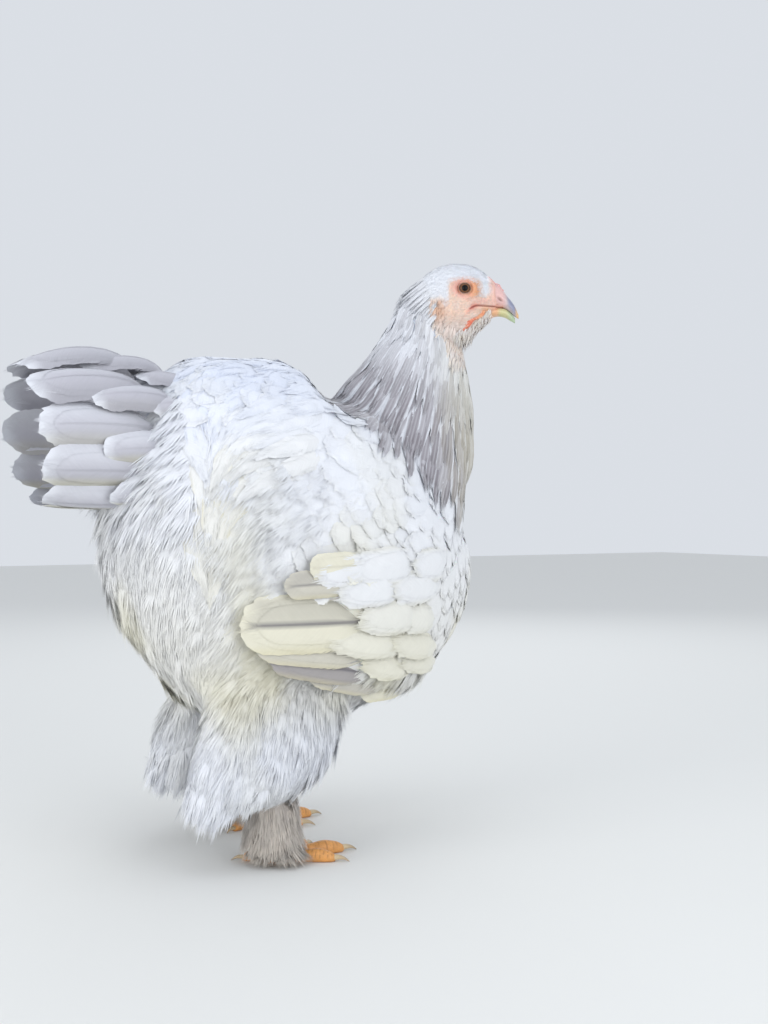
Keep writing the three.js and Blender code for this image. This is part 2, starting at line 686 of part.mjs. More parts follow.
function headParts() {
  const grown = headSolid(GAP);
  const shell = headSolid();
  const eyeBalls = (radius) =>
    SIDES.map(([, side]) => ball(V(EYE.x, side * EYE.out, EYE.z), [radius, radius, radius], 9));
  const upper = upperBeak();
  const lower = lowerBeak();
  const LID_OUT = 19.2;
  const rims = SIDES.flatMap(([, side]) => [
    rim(V(EYE.x, side * LID_OUT, EYE.z), 6.4, 5.6, 0.24, side),
    rim(V(EAR.x, side * EAR.out, EAR.z), 4.6, 5.6, 0.3, side),
  ]);
  const lobes = (grow) =>
    SIDES.map(([, side]) => ball(V(LOBE.x, side * LOBE.out, LOBE.z), [5 + grow, 3 + grow, 7 + grow], 7));
  const mouth = SIDES.map(([, side]) => {
    const stations = [
      [34, 8, -20.3],
      [20, 14, -21],
      [7, 18.5, -21.65],
    ].map(([x, y, z]) => ({ at: V(x, side * y, z), side: V(0, 1, 0), up: V(0, 0, 1), half: 5 }));
    return strip(stations, 1);
  });
  const earHoles = SIDES.map(([, side]) => ball(V(EAR.x, side * (EAR.out + 1.3), EAR.z), [3.2, 4, 4], 6));
  const earSpace = SIDES.map(([, side]) => ball(V(EAR.x, side * EAR.out, EAR.z), [7, 3.2, 8.2], 10));
  const openings = fuse([...eyeBalls(EYE.radius + GAP), ...mouth, ...earHoles]);
  const flesh = fuse([shell, ...rims, ...lobes(0)]).subtract(openings);
  const FLESH_TO = 26.5; // behind this the head's flesh stays whole
  const TIP = 54;
  const aboveGape = [FLESH_TO, 31, 36, 42, 48, 56].map((x) =>
    beakRing(x, culmen(x) + GAP, -20.2, beakHalf(Math.min(x, TIP)) + GAP),
  );
  const belowGape = [FLESH_TO, 34, 42, 52].map((x, i) => beakRing(x, -19.4, -29 - GAP + 2 * i, 7.8 - i + GAP));
  const beakSpace = fuse([loft(aboveGape), loft(belowGape)]);
  const aroundBeak = fuse([upper, lower]).scale([1, 1.03, 1]);
  const wattles = SIDES.map(([, side]) => {
    const flap = ball(V(13, side * 6.5, -34), [6, 2, 5], 7);
    return largest(flap.subtract(grown).subtract(aroundBeak));
  });
  return {
    flesh: largest(flesh.subtract(beakSpace)),
    space: fuse([grown, ...lobes(GAP), ...earSpace]),
    upper,
    lower,
    eyes: eyeBalls(EYE.radius),
    wattles,
    comb: combSolid(fuse([grown, upper.scale([1, 1.06, 1]).translate([0, 0, GAP])])),
  };
}

// The scene graph

const material = (color, roughness) => new THREE.MeshStandardMaterial({ color, roughness, metalness: 0 });
const MATERIALS = {
  white: material(0xf1eee6, 0.9),
  hackle: material(0xa9a3a6, 0.85),
  tail: material(0xc9c5c6, 0.85),
  face: material(0xe3a893, 0.7),
  comb: material(0xc9505a, 0.6),
  beak: material(0xc9b262, 0.4),
  eye: material(0x3a2113, 0.1),
  toe: material(0xd9984a, 0.6),
  claw: material(0xd8c7a0, 0.4),
};

function toMesh(name, solid, kind) {
  const { numProp, numVert, vertProperties, triVerts } = solid.getMesh();
  const position = new Float32Array(numVert * 3);
  for (let i = 0; i < numVert; i++) position.set(vertProperties.subarray(i * numProp, i * numProp + 3), i * 3);
  const geometry = new THREE.BufferGeometry();
  geometry.setAttribute("position", new THREE.BufferAttribute(position, 3));
  geometry.setIndex(new THREE.BufferAttribute(triVerts, 1));
  geometry.computeVertexNormals();
  const mesh = new THREE.Mesh(geometry, MATERIALS[kind]);
  mesh.name = name;
  return mesh;
}

const bird = new THREE.Group();
const add = (name, solid, kind) => bird.add(toMesh(name, solid, kind));

const { above: breast, below: rest } = split(torsoSolid(), X_AXIS, BREAST_FROM);
const { above: fore, below: rear } = split(rest, X_AXIS, TAIL_FROM);
const { above: back, below: under } = split(fore, Z_AXIS, SADDLE_FROM);
const { above: belly, below: flank } = split(under, X_AXIS, FLUFF_TO);
const { above: rump, below: vent } = split(rear, Z_AXIS, RUMP_FROM);

const headMatrix = new THREE.Matrix4().makeRotationZ(HEAD_TURN).setPosition(HEAD_AT);
const head = headParts();
const headSpace = head.space.transform(headMatrix.elements);

add("breast", breast, "white");
add("belly", belly, "white");
add("flank", flank, "white");
add("vent", vent, "white");
add("saddle", back, "white");
add("tail", tailSolid(rump), "tail");
add("neck", largest(neckSolid().subtract(headSpace)), "hackle");

for (const [word, side] of SIDES) {
  const wing = wingSolid(side);
  const wingSpace = wasm.Manifold.hull([wing, wing.translate([0, 0, -GAP]), wing.translate([GAP, 0, 0])]);
  const thigh = largest(thighSolid(side, STANCE[word]).subtract(wingSpace));
  const thighSpace = fuse([thigh, thigh.translate([0, 0, -GAP])]);
  const { sole, claws } = footSolids(side, STANCE[word]);
  add(`wing_${word}`, wing, "white");
  add(`thigh_${word}`, thigh, "white");
  add(`shank_${word}`, shankSolid(side, STANCE[word], thighSpace), "white");
  add(`foot_${word}`, sole, "toe");
  for (const [toe, claw] of claws) add(`claw_${toe}_${word}`, claw, "claw");
}

const headGroup = new THREE.Group();
headGroup.position.copy(HEAD_AT);
headGroup.rotation.z = HEAD_TURN;
bird.add(headGroup);
headGroup.add(toMesh("head", head.flesh, "face"));
headGroup.add(toMesh("beak_upper", head.upper, "beak"));
headGroup.add(toMesh("beak_lower", head.lower, "beak"));
headGroup.add(toMesh("comb", head.comb, "comb"));
SIDES.forEach(([word], i) => {
  headGroup.add(toMesh(`eye_${word}`, head.eyes[i], "eye"));
  headGroup.add(toMesh(`wattle_${word}`, head.wattles[i], "comb"));
});

// The origin is on the floor under the middle of the bird's box.
const box = new THREE.Box3().setFromObject(bird, true);
bird.position.set(-(box.min.x + box.max.x) / 2, -(box.min.y + box.max.y) / 2, 0);

export default bird;
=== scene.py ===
import math

import bpy
import numpy as np
from mathutils.bvhtree import BVHTree
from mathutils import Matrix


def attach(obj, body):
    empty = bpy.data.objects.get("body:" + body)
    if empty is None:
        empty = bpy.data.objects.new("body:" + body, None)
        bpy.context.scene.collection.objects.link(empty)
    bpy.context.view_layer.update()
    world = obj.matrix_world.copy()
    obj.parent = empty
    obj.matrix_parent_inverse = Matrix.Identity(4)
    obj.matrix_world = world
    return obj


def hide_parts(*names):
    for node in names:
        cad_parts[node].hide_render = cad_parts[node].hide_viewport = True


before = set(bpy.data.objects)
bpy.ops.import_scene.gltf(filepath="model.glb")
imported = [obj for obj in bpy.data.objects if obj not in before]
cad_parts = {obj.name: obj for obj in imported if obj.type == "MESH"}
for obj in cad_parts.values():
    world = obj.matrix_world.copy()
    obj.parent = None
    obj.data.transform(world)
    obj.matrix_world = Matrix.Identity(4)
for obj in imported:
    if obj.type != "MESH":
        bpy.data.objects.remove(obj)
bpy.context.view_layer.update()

# The bird is laid out in millimetres, X forward, Y to its left, Z up, as its solids are. The solids' frame
# has its origin under the middle of their box, which lies this far from the bird's own.
SHIFT = np.array((-1.5087, 0.0, 0.0))
MM = 0.001
RIGHT = -1
LEFT = 1
SIDES = (("right", RIGHT), ("left", LEFT))
STANCE = {
    "right": {"hock": 0, "foot": -32, "hock_out": 74, "foot_out": 66},
    "left": {"hock": 18, "foot": 0, "hock_out": 68, "foot_out": 54},
}


def to_row(points):
    return (np.asarray(points, float) + SHIFT) * MM


def unit(v):
    return v / np.maximum(np.linalg.norm(v, axis=-1, keepdims=True), 1e-9)


def mix(a, b, t):
    return a + (b - a) * t


def mix_each(a, b, t):
    """Colours or directions mixed by a share of their own at each point."""
    return mix(a, b, t[..., None])


def vec(x, y, z):
    """Points or directions from their parts along X, Y and Z."""
    return np.stack(np.broadcast_arrays(x, y, z), -1)


def spot(x, middle, wide, z=0.0, level=0.0, high=1.0):
    """1 at a place and falling to 0 away from it."""
    return np.exp(-((x - middle) / wide) ** 2 - ((z - level) / high) ** 2)


def smooth(low, high, x):
    t = np.clip((x - low) / (high - low), 0, 1)
    return t * t * (3 - 2 * t)


def curve(xs, ys):
    """A smooth line through (xs, ys) that never overshoots them and runs straight on past its ends."""
    xs = np.array(xs, float)
    ys = np.array(ys, float)
    secant = np.diff(ys) / np.diff(xs)
    slope = np.zeros(len(xs))
    slope[0] = secant[0]
    slope[-1] = secant[-1]
    both = secant[:-1] * secant[1:]
    total = secant[:-1] + secant[1:]
    slope[1:-1] = np.where(both > 0, 2 * both / np.where(both > 0, total, 1), 0)

    def at(x):
        x = np.asarray(x, float)
        k = np.clip(np.searchsorted(xs, x, side="right") - 1, 0, len(xs) - 2)
        span = xs[k + 1] - xs[k]
        t = (x - xs[k]) / span
        s = t * t * (3 - 2 * t)
        inside = ys[k] * (1 - s) + ys[k + 1] * s
        inside = inside + span * (slope[k] * t * (1 - t) ** 2 - slope[k + 1] * t * t * (1 - t))
        before = ys[0] + slope[0] * (x - xs[0])
        after = ys[-1] + slope[-1] * (x - xs[-1])
        return np.where(t < 0, before, np.where(t > 1, after, inside))

    return at


def wobble(p, size, seed=0.0):
    """A smooth random number from -1 to 1 over space, with lumps about size millimetres across."""
    x, y, z = (np.asarray(p)[..., i] / size * 2.2 for i in range(3))
    a = np.sin(x + 1.7 * np.sin(y * 0.9 + seed) + seed * 3.1)
    b = np.sin(y * 1.1 + 1.9 * np.sin(z * 0.8 - seed) + 1.3)
    c = np.sin(z * 0.9 + 1.6 * np.sin(x * 1.2 + seed * 2) + 2.1 + seed)
    return (a + b + c) / 3


# Forms, the same as the solids'

BULGE = 2.3
WIDEST = 0.45
TORSO_X = [-160, -152, -136, -110, -74, -18, 42, 96, 142, 176, 196, 204]
torso_top = curve(TORSO_X, [276, 330, 386, 426, 443, 445, 424, 390, 350, 316, 284, 260])
torso_bottom = curve(TORSO_X, [256, 226, 194, 160, 124, 106, 110, 128, 150, 180, 214, 242])
torso_half = curve(TORSO_X, [10, 44, 70, 91, 105, 112, 114, 107, 88, 62, 36, 10])


def power(value, p):
    return np.sign(value) * np.abs(value) ** p


def torso_section(x):
    top = torso_top(x)
    bottom = torso_bottom(x)
    level = mix(bottom, top, WIDEST)
    return level, top - level, level - bottom, torso_half(x)


def torso(x, angle, h=0.0):
    level, up, down, half = torso_section(x)
    a = np.radians(angle)
    c = power(np.cos(a), 2 / BULGE)
    u = power(np.sin(a), 2 / BULGE)
    return vec(x, (half + h) * c, level + (np.where(u > 0, up, down) + h) * u)


TAIL_ROOT = (-92.0, 0.0, 356.0)
TAIL_RISE = 0.09
tail_wide = curve([0, 60, 150], [48, 58, 66])
tail_high = curve([0, 60, 150], [62, 68, 66])


def tail_skin(u, angle, h=0.0):
    a = np.radians(angle)
    y = np.sin(a) * (tail_wide(u) + h)
    z = TAIL_ROOT[2] + u * TAIL_RISE + np.cos(a) * (tail_high(u) + h)
    return vec(TAIL_ROOT[0] - u, y, z)


NECK_V = [-0.2, 0, 0.2, 0.4, 0.6, 0.8, 1]
neck_back_x = curve(NECK_V, [30, 48, 74, 95, 109, 121, 132])
neck_back_z = curve(NECK_V, [400, 408, 428, 450, 474, 498, 521])
neck_front_x = curve(NECK_V, [190, 200, 210, 212, 206, 198, 188])
neck_front_z = curve(NECK_V, [290, 316, 352, 392, 426, 456, 480])
neck_half = curve(NECK_V, [90, 80, 66, 50, 38, 30, 24])
neck_sag = curve(NECK_V, [60, 44, 27, 12, 4, 0, 0])
neck_turn = curve(NECK_V, [0, 0, -1, -4, -9, -15, -21])


def neck_skin(v, angle, h=0.0):
    back = vec(neck_back_x(v), neck_turn(v), neck_back_z(v))
    front = vec(neck_front_x(v), neck_turn(v), neck_front_z(v))
    reach = (front - back) / 2
    a = np.radians(angle)
    c = np.cos(a)
    s = np.sin(a)
    long = np.linalg.norm(reach, axis=-1)
    p = (front + back) / 2 + reach * (c * (1 + h / long))[..., None]
    p[..., 1] += s * (neck_half(v) + h)
    p[..., 2] -= neck_sag(v) * s * s
    return p


WING_X = [-24, 20, 69, 110, 140, 154]
wing_low = curve(WING_X, [174, 152, 138, 141, 172, 206])
wing_high = curve(WING_X, [240, 262, 280, 286, 274, 240])
WING_OUT = 6
FLAT_BEHIND = -90


def wing_skin(side, x, z, h=0.0):
    level, up, down, half = torso_section(np.maximum(x, FLAT_BEHIND))
    below = np.clip((level - z) / down, 0, 1)
    above = np.clip((z - level) / up, 0, 1)
    y = half * (1 - 0.42 * below**2.4 - 0.5 * above**2.2)
    return vec(x, side * (y + WING_OUT + h), z)


THIGH_Z = [50, 58, 72, 98, 130, 165, 200]
thigh_x = curve(THIGH_Z, [-74, -62, -54, -42, -31, -22, -14])
thigh_in = curve(THIGH_Z, [0, 0, 0, 2, 8, 16, 22])
thigh_long = curve(THIGH_Z, [16, 46, 61, 67, 66, 62, 56])
thigh_wide = curve(THIGH_Z, [12, 26, 34, 38, 32, 26, 20])


def thigh_skin(word, side, z, angle, h=0.0):
    stance = STANCE[word]
    a = np.radians(angle)
    x = stance["hock"] + thigh_x(z) + np.cos(a) * (thigh_long(z) + h)
    y = side * (stance["hock_out"] - thigh_in(z) + np.sin(a) * (thigh_wide(z) + h))
    return vec(x, y, z)


HEAD_AT = np.array((190.0, -29.0, 522.0))
HEAD_TURN = math.radians(-30)
HEAD_X = [-44, -36, -24, -10, 4, 16, 26, 34, 40]
head_top = curve(HEAD_X, [4, 13, 20, 23, 22, 17, 9, 0, -8])
head_bottom = curve(HEAD_X, [-24, -36, -48, -53, -50, -40, -31, -26, -23])
head_half = curve(HEAD_X, [10, 17, 20, 21, 19.5, 16, 12, 9, 6])
HEAD_LEVEL = 0.55
EYE_OUT = 13.6
EYE_RADIUS = 7.0
EYE_Z = -3.5
LID_X = 5.3
LID_Z = 4.6


def from_head(p):
    """From the head's own frame, X towards the beak, to the bird's."""
    p = np.asarray(p, float)
    c, s = math.cos(HEAD_TURN), math.sin(HEAD_TURN)
    return HEAD_AT + vec(p[..., 0] * c - p[..., 1] * s, p[..., 0] * s + p[..., 1] * c, p[..., 2])


def to_head(p):
    d = np.asarray(p, float) - HEAD_AT
    c, s = math.cos(HEAD_TURN), math.sin(HEAD_TURN)
    return vec(d[..., 0] * c + d[..., 1] * s, -d[..., 0] * s + d[..., 1] * c, d[..., 2])


def head_xz(p):
    q = to_head(p)
    return q[..., 0], q[..., 2]


# Colours, written as they look on a screen

def paint(r, g, b):
    c = np.array((r, g, b), float)
    return np.where(c <= 0.04045, c / 12.92, ((c + 0.055) / 1.055) ** 2.4)


WHITE = paint(0.90, 0.91, 0.935)
# A bluish grey that paints a cast of sky light on the top of the back and saddle
PAINTED_SKY_BLUE = paint(0.84, 0.865, 0.925)
IVORY = paint(0.90, 0.89, 0.85)
CREAM = paint(0.87, 0.85, 0.73)
STRAW = paint(0.84, 0.80, 0.60)
LAVENDER = paint(0.74, 0.735, 0.77)
GREY = paint(0.57, 0.55, 0.575)
DARK = paint(0.40, 0.39, 0.43)
UMBER = paint(0.55, 0.51, 0.47)
PINK = paint(0.88, 0.68, 0.62)
ORANGE = paint(0.86, 0.62, 0.46)
PEACH = paint(0.91, 0.77, 0.68)
RED = paint(0.80, 0.30, 0.24)
BLUSH = paint(0.90, 0.80, 0.75)
IRIS_DARK = paint(0.34, 0.22, 0.15)
IRIS_LIGHT = paint(0.52, 0.37, 0.26)
IRIS_RIM = paint(0.20, 0.12, 0.08)
PUPIL = paint(0.02, 0.015, 0.015)
BEAK_PINK = paint(0.86, 0.70, 0.68)
BEAK_GREY = paint(0.72, 0.67, 0.68)
BEAK_BLUE = paint(0.46, 0.50, 0.62)
BEAK_TIP = paint(0.84, 0.68, 0.48)
NOSTRIL_RED = paint(0.40, 0.22, 0.20)
CHIN_ORANGE = paint(0.86, 0.66, 0.50)
CHIN_YELLOW = paint(0.76, 0.74, 0.54)
CHIN_GREEN = paint(0.66, 0.73, 0.60)
COMB_PINK = paint(0.85, 0.67, 0.66)
CLAW_ROOT = paint(0.80, 0.72, 0.58)
CLAW_TIP = paint(0.62, 0.54, 0.44)
TOE_YELLOW = paint(0.84, 0.60, 0.34)
# The toes' own darker skin in their creases, also painted as shade along the soles
TOE_CREASE_AND_SHADE = paint(0.58, 0.36, 0.20)


# Making meshes

def make_mesh(name, points, faces, tint=None, vane=None, uv=None, normals=None):
    """An object from points in millimetres and triangles or quads, smooth shaded."""
    mesh = bpy.data.meshes.new(name)
    faces = np.asarray(faces, np.int32)
    count, corners = faces.shape
    mesh.vertices.add(len(points))
    mesh.vertices.foreach_set("co", to_row(points).astype(np.float32).ravel())
    mesh.loops.add(count * corners)
    mesh.loops.foreach_set("vertex_index", faces.ravel())
    mesh.polygons.add(count)
    mesh.polygons.foreach_set("loop_start", np.arange(0, count * corners, corners, dtype=np.int32))
    mesh.polygons.foreach_set("use_smooth", np.ones(count, bool))
    mesh.update(calc_edges=True)
    if tint is not None:
        layer = mesh.attributes.new("tint", "FLOAT_COLOR", "POINT")
        full = np.ones((len(points), 4), np.float32)
        full[:, :3] = np.clip(tint, 0, 1)
        layer.data.foreach_set("color", full.ravel())
    if vane is not None:
        layer = mesh.attributes.new("vane", "FLOAT_VECTOR", "POINT")
        layer.data.foreach_set("vector", np.asarray(vane, np.float32).ravel())
    if uv is not None:
        layer = mesh.uv_layers.new(name="OFBake")
        layer.data.foreach_set("uv", np.asarray(uv, np.float32)[faces.ravel()].ravel())
    if normals is not None:
        mesh.normals_split_custom_set_from_vertices(normals.tolist())
    made = bpy.data.objects.new(name, mesh)
    bpy.context.scene.collection.objects.link(made)
    return made


def settle(piece, material, slot, *nodes):
    """A piece gets its finish, rides on the body and stands for nodes of the solids."""
    piece.data.materials.append(material)
    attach(piece, "root")
    if nodes:
        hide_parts(*nodes)


def grid_faces(rows, columns):
    """Quads over rows x columns points, with the last column joined to the first."""
    r, c = np.meshgrid(np.arange(rows - 1), np.arange(columns), indexing="ij")
    a = r * columns + c
    b = r * columns + (c + 1) % columns
    return np.stack([a, b, b + columns, a + columns], -1).reshape(-1, 4)


def closed_tube(points):
    """Points (rows, columns, 3) as vertices and quads, with a pole at each end."""
    rows, columns = points.shape[:2]
    flat = points.reshape(-1, 3)
    faces = [grid_faces(rows, columns)]
    first = len(flat)
    flat = np.concatenate([flat, points[0].mean(0)[None], points[-1].mean(0)[None]])
    k = np.arange(columns)
    after = (k + 1) % columns
    top = (rows - 1) * columns
    faces.append(np.stack([0 * k + first, after, k, k], -1))
    faces.append(np.stack([0 * k + first + 1, top + k, top + after, top + after], -1))
    return flat, faces


def ball_angles(rows, columns, edge):
    """The angles from a pole and round it, for rings that stop short of both poles by edge."""
    around = np.arange(columns) * 2 * math.pi / columns
    return np.meshgrid(np.linspace(edge, math.pi - edge, rows), around, indexing="ij")


def clean_faces(faces):
    """Quads with a doubled corner become triangles; the rest are cut in two."""
    faces = np.concatenate(faces)
    first = faces[:, [0, 1, 2]]
    second = faces[:, [0, 2, 3]]
    return np.concatenate([first, second[faces[:, 2] != faces[:, 3]]])


def tube_mesh(name, points, tint):
    """A closed tube from rings of points and their colours. A pole takes the colour of its ring."""
    flat, faces = closed_tube(points)
    tint = np.concatenate([tint.reshape(-1, 3), tint[0, :1], tint[-1, :1]])
    return make_mesh(name, flat, clean_faces(faces), tint=tint)


def fused(name, shapes, voxel, rounds):
    """One closed mesh from overlapping closed shapes, as (points in millimetres, quads)."""
    points = []
    faces = []
    offset = 0
    for shape in shapes:
        flat, parts = closed_tube(shape)
        points.append(flat)
        faces.append(clean_faces(parts) + offset)
        offset += len(flat)
    made = make_mesh(name, np.concatenate(points), np.concatenate(faces))
    remesh = made.modifiers.new("remesh", "REMESH")
    remesh.mode = "VOXEL"
    remesh.voxel_size = voxel * MM
    soften = made.modifiers.new("soften", "SMOOTH")
    soften.factor = 0.5
    soften.iterations = rounds
    whole = made.evaluated_get(bpy.context.evaluated_depsgraph_get()).to_mesh()
    co = np.zeros(len(whole.vertices) * 3)
    whole.vertices.foreach_get("co", co)
    quads = np.array([list(f.vertices) if len(f.vertices) == 4 else [*f.vertices, f.vertices[-1]]
                      for f in whole.polygons])
    bpy.data.objects.remove(made)
    return co.reshape(-1, 3) / MM - SHIFT, quads


def vertex_normals(points, faces):
    normals = np.zeros_like(points)
    crossed = np.cross(points[faces[:, 2]] - points[faces[:, 0]], points[faces[:, 3]] - points[faces[:, 1]])
    for i in range(4):
        np.add.at(normals, faces[:, i], crossed)
    return unit(normals)


class Form:
    """A closed surface to lay feathers on."""

    def __init__(self, points, faces):
        self.points = points
        self.faces = faces
        self.normals = vertex_normals(points, faces)
        self.face_normals = unit(self.normals[faces].mean(1))
        self.tree = BVHTree.FromPolygons(points.tolist(), faces.tolist())

    def nearest(self, p):
        """The nearest points on the form and the ways out of it there."""
        flat = p.reshape(-1, 3)
        at = np.empty_like(flat)
        out = np.empty_like(flat)
        for i, q in enumerate(flat.tolist()):
            near, _, index, _ = self.tree.find_nearest(q)
            at[i] = near
            out[i] = self.face_normals[index]
        return at.reshape(p.shape), out.reshape(p.shape)

    def scatter(self, wanted, spacing, seed):
        """Points spread evenly where wanted(points) says so, none nearer than spacing to another."""
        rng = np.random.default_rng(seed)
        corners = self.points[self.faces]
        crossed = np.cross(corners[:, 2] - corners[:, 0], corners[:, 3] - corners[:, 1])
        area = np.linalg.norm(crossed, axis=1) / 2
        area = area * wanted(corners.mean(1))
        tries = int(area.sum() / spacing**2 * 5)
        pick = rng.choice(len(area), tries, p=area / area.sum())
        u = rng.random((tries, 1))
        v = rng.random((tries, 1))
        c = corners[pick]
        p = mix(mix(c[:, 0], c[:, 1], u), mix(c[:, 3], c[:, 2], u), v)
        cells = {}
        kept = []
        near = [(i, j, k) for i in (-1, 0, 1) for j in (-1, 0, 1) for k in (-1, 0, 1)]
        keys = np.floor(p / spacing).astype(int).tolist()
        rows = p.tolist()
        limit = spacing**2
        for n, (key, q) in enumerate(zip(keys, rows)):
            close = False
            for d in near:
                for o in cells.get((key[0] + d[0], key[1] + d[1], key[2] + d[2]), ()):
                    if (o[0] - q[0]) ** 2 + (o[1] - q[1]) ** 2 + (o[2] - q[2]) ** 2 < limit:
                        close = True
                        break
                if close:
                    break
            if not close:
                cells.setdefault(tuple(key), []).append(q)
                kept.append(n)
        return p[kept]

    def flow_paths(self, roots, flow, length, steps, rng, stray_turn):
        """Lines from the roots that follow flow over the form: points and ways out, (n, steps + 1, 3)."""
        at, out = self.nearest(roots)
        line = [at]
        ups = [out]
        turn = rng.normal(0, stray_turn, len(roots))
        way = unit(flow(at))
        way = unit(way - out * (way * out).sum(-1, keepdims=True))
        way = unit(way + np.cross(out, way) * np.reshape(turn, (-1, 1)))
        step = np.reshape(length, (-1, 1)) / steps
        for _ in range(steps):
            at, out = self.nearest(line[-1] + way * step)
            line.append(at)
            ups.append(out)
            way = unit(way * 0.6 + unit(flow(at)) * 0.4)
            way = unit(way - out * (way * out).sum(-1, keepdims=True))
        return np.stack(line, 1), np.stack(ups, 1)


# Feathers: each kind is a flat template. A point of it is s along it from 0 to 1, w across it from -1 to 1
# and h above it, with the number of its barb and how far out on that barb it lies. Its faces face out.

class Template:
    def __init__(self, points, faces):
        self.points = np.array(points, float)
        self.s, self.w, self.h, self.part, self.tip = self.points.T
        self.part = self.part.astype(int)
        self.faces = np.array(faces, int)
        flat = self.points[self.faces, :2]
        turn = np.cross(flat[:, 1] - flat[:, 0], flat[:, 2] - flat[:, 0])
        self.faces[turn > 0] = self.faces[turn > 0][:, ::-1]

    def __add__(self, other):
        further = other.points + (0, 0, 0, self.part.max() + 1, 0)
        faces = np.concatenate([self.faces, other.faces + len(self.points)])
        return Template(np.concatenate([self.points, further]), faces)


BARB_WIDTH = 0.6
BARB_ROOT = 0.10


def fringe(count, outline, reach):
    """Barbs that stand out past the edge of a feather, longer towards its tip."""
    points, faces = [], []
    half = 0.5 / count * BARB_WIDTH
    for side in (1, -1):
        for j in range(count):
            t = 1 - 0.8 * (1 - (j + 0.5) / count) ** 1.4
            wide = float(outline(t))
            narrow = float(outline(min(t + 0.25, 1)))
            n = len(points)
            points += [
                (t - BARB_ROOT - half, side * max(wide - 0.25, 0) * 0.9, 0.02, n // 3, 0.2),
                (t - BARB_ROOT + half, side * max(wide - 0.15, 0), 0.02, n // 3, 0.2),
                (t + reach * (0.5 + 0.5 * t), side * (0.45 * wide + 0.5 * narrow + 0.1), 0.0, n // 3, 1.2),
            ]
            faces.append([n, n + 1, n + 2])
    return Template(points, faces)


def strip_faces(rows, columns, points_across):
    """Triangles over rows x columns cells of points in rows of points_across."""
    faces = []
    for i in range(rows):
        for k in range(columns):
            a = i * points_across + k
            b = a + points_across
            faces += [[a, a + 1, b + 1], [a, b + 1, b]]
    return faces


def vane(rows, columns, outline, lean, shaft=True):
    """A smooth feather: one sheet, and a shaft that stands a little above it."""
    points = []
    for i in range(rows + 1):
        t = 1 - (1 - i / rows) ** 1.4
        wide = float(outline(t))
        for k in range(columns + 1):
            c = 2 * k / columns - 1
            points.append((t + lean * abs(c) * wide * (1 - t), wide * c, 0, 2 * i + (c > 0), abs(c) ** 5))
    sheet = Template(points, strip_faces(rows, columns, columns + 1))
    if not shaft:
        return sheet
    points = []
    for i in range(rows + 1):
        t = 0.97 * i / rows
        r = 0.055 * (1 - 0.75 * t)
        points += [(t, -r, 0.004, 0, 0), (t, 0, r * 1.3, 0, 0), (t, r, 0.004, 0, 0)]
    return sheet + Template(points, strip_faces(rows, 2, 3))


def down(blades, spread, wide):
    """A tuft of fine blades that spread from one root."""
    points, faces = [], []
    for j in range(blades):
        c = 2 * j / (blades - 1) - 1
        end = 1 - 0.25 * abs(c) ** 1.5
        n = len(points)
        for t, k in ((0.05, 0.6), (0.5, 1.0)):
            for edge in (-1, 1):
                points.append((t * end, c * spread * t**0.8 + edge * wide * k, 0.1 * t, j, t * 0.6))
        points.append((end, c * spread, 0, j, 1))
        faces += [[n, n + 1, n + 3], [n, n + 3, n + 2], [n + 2, n + 3, n + 4]]
    return Template(points, faces)


def along(path, s):
    """The lines (n, m, 3) at s (n, q) from 0 to 1, running straight on past their ends."""
    m = path.shape[1]
    k = np.clip(np.floor(s * (m - 1)).astype(int), 0, m - 2)
    t = s * (m - 1) - k
    rows = np.arange(len(path))[:, None]
    a = path[rows, k]
    return a + (path[rows, k + 1] - a) * t[..., None]


PATCH = 0.003  # the width of a tuft's patch on the map
MOST = 190000  # triangles in a piece, before the rest go into another
FLOOR_CLEAR = 0.6


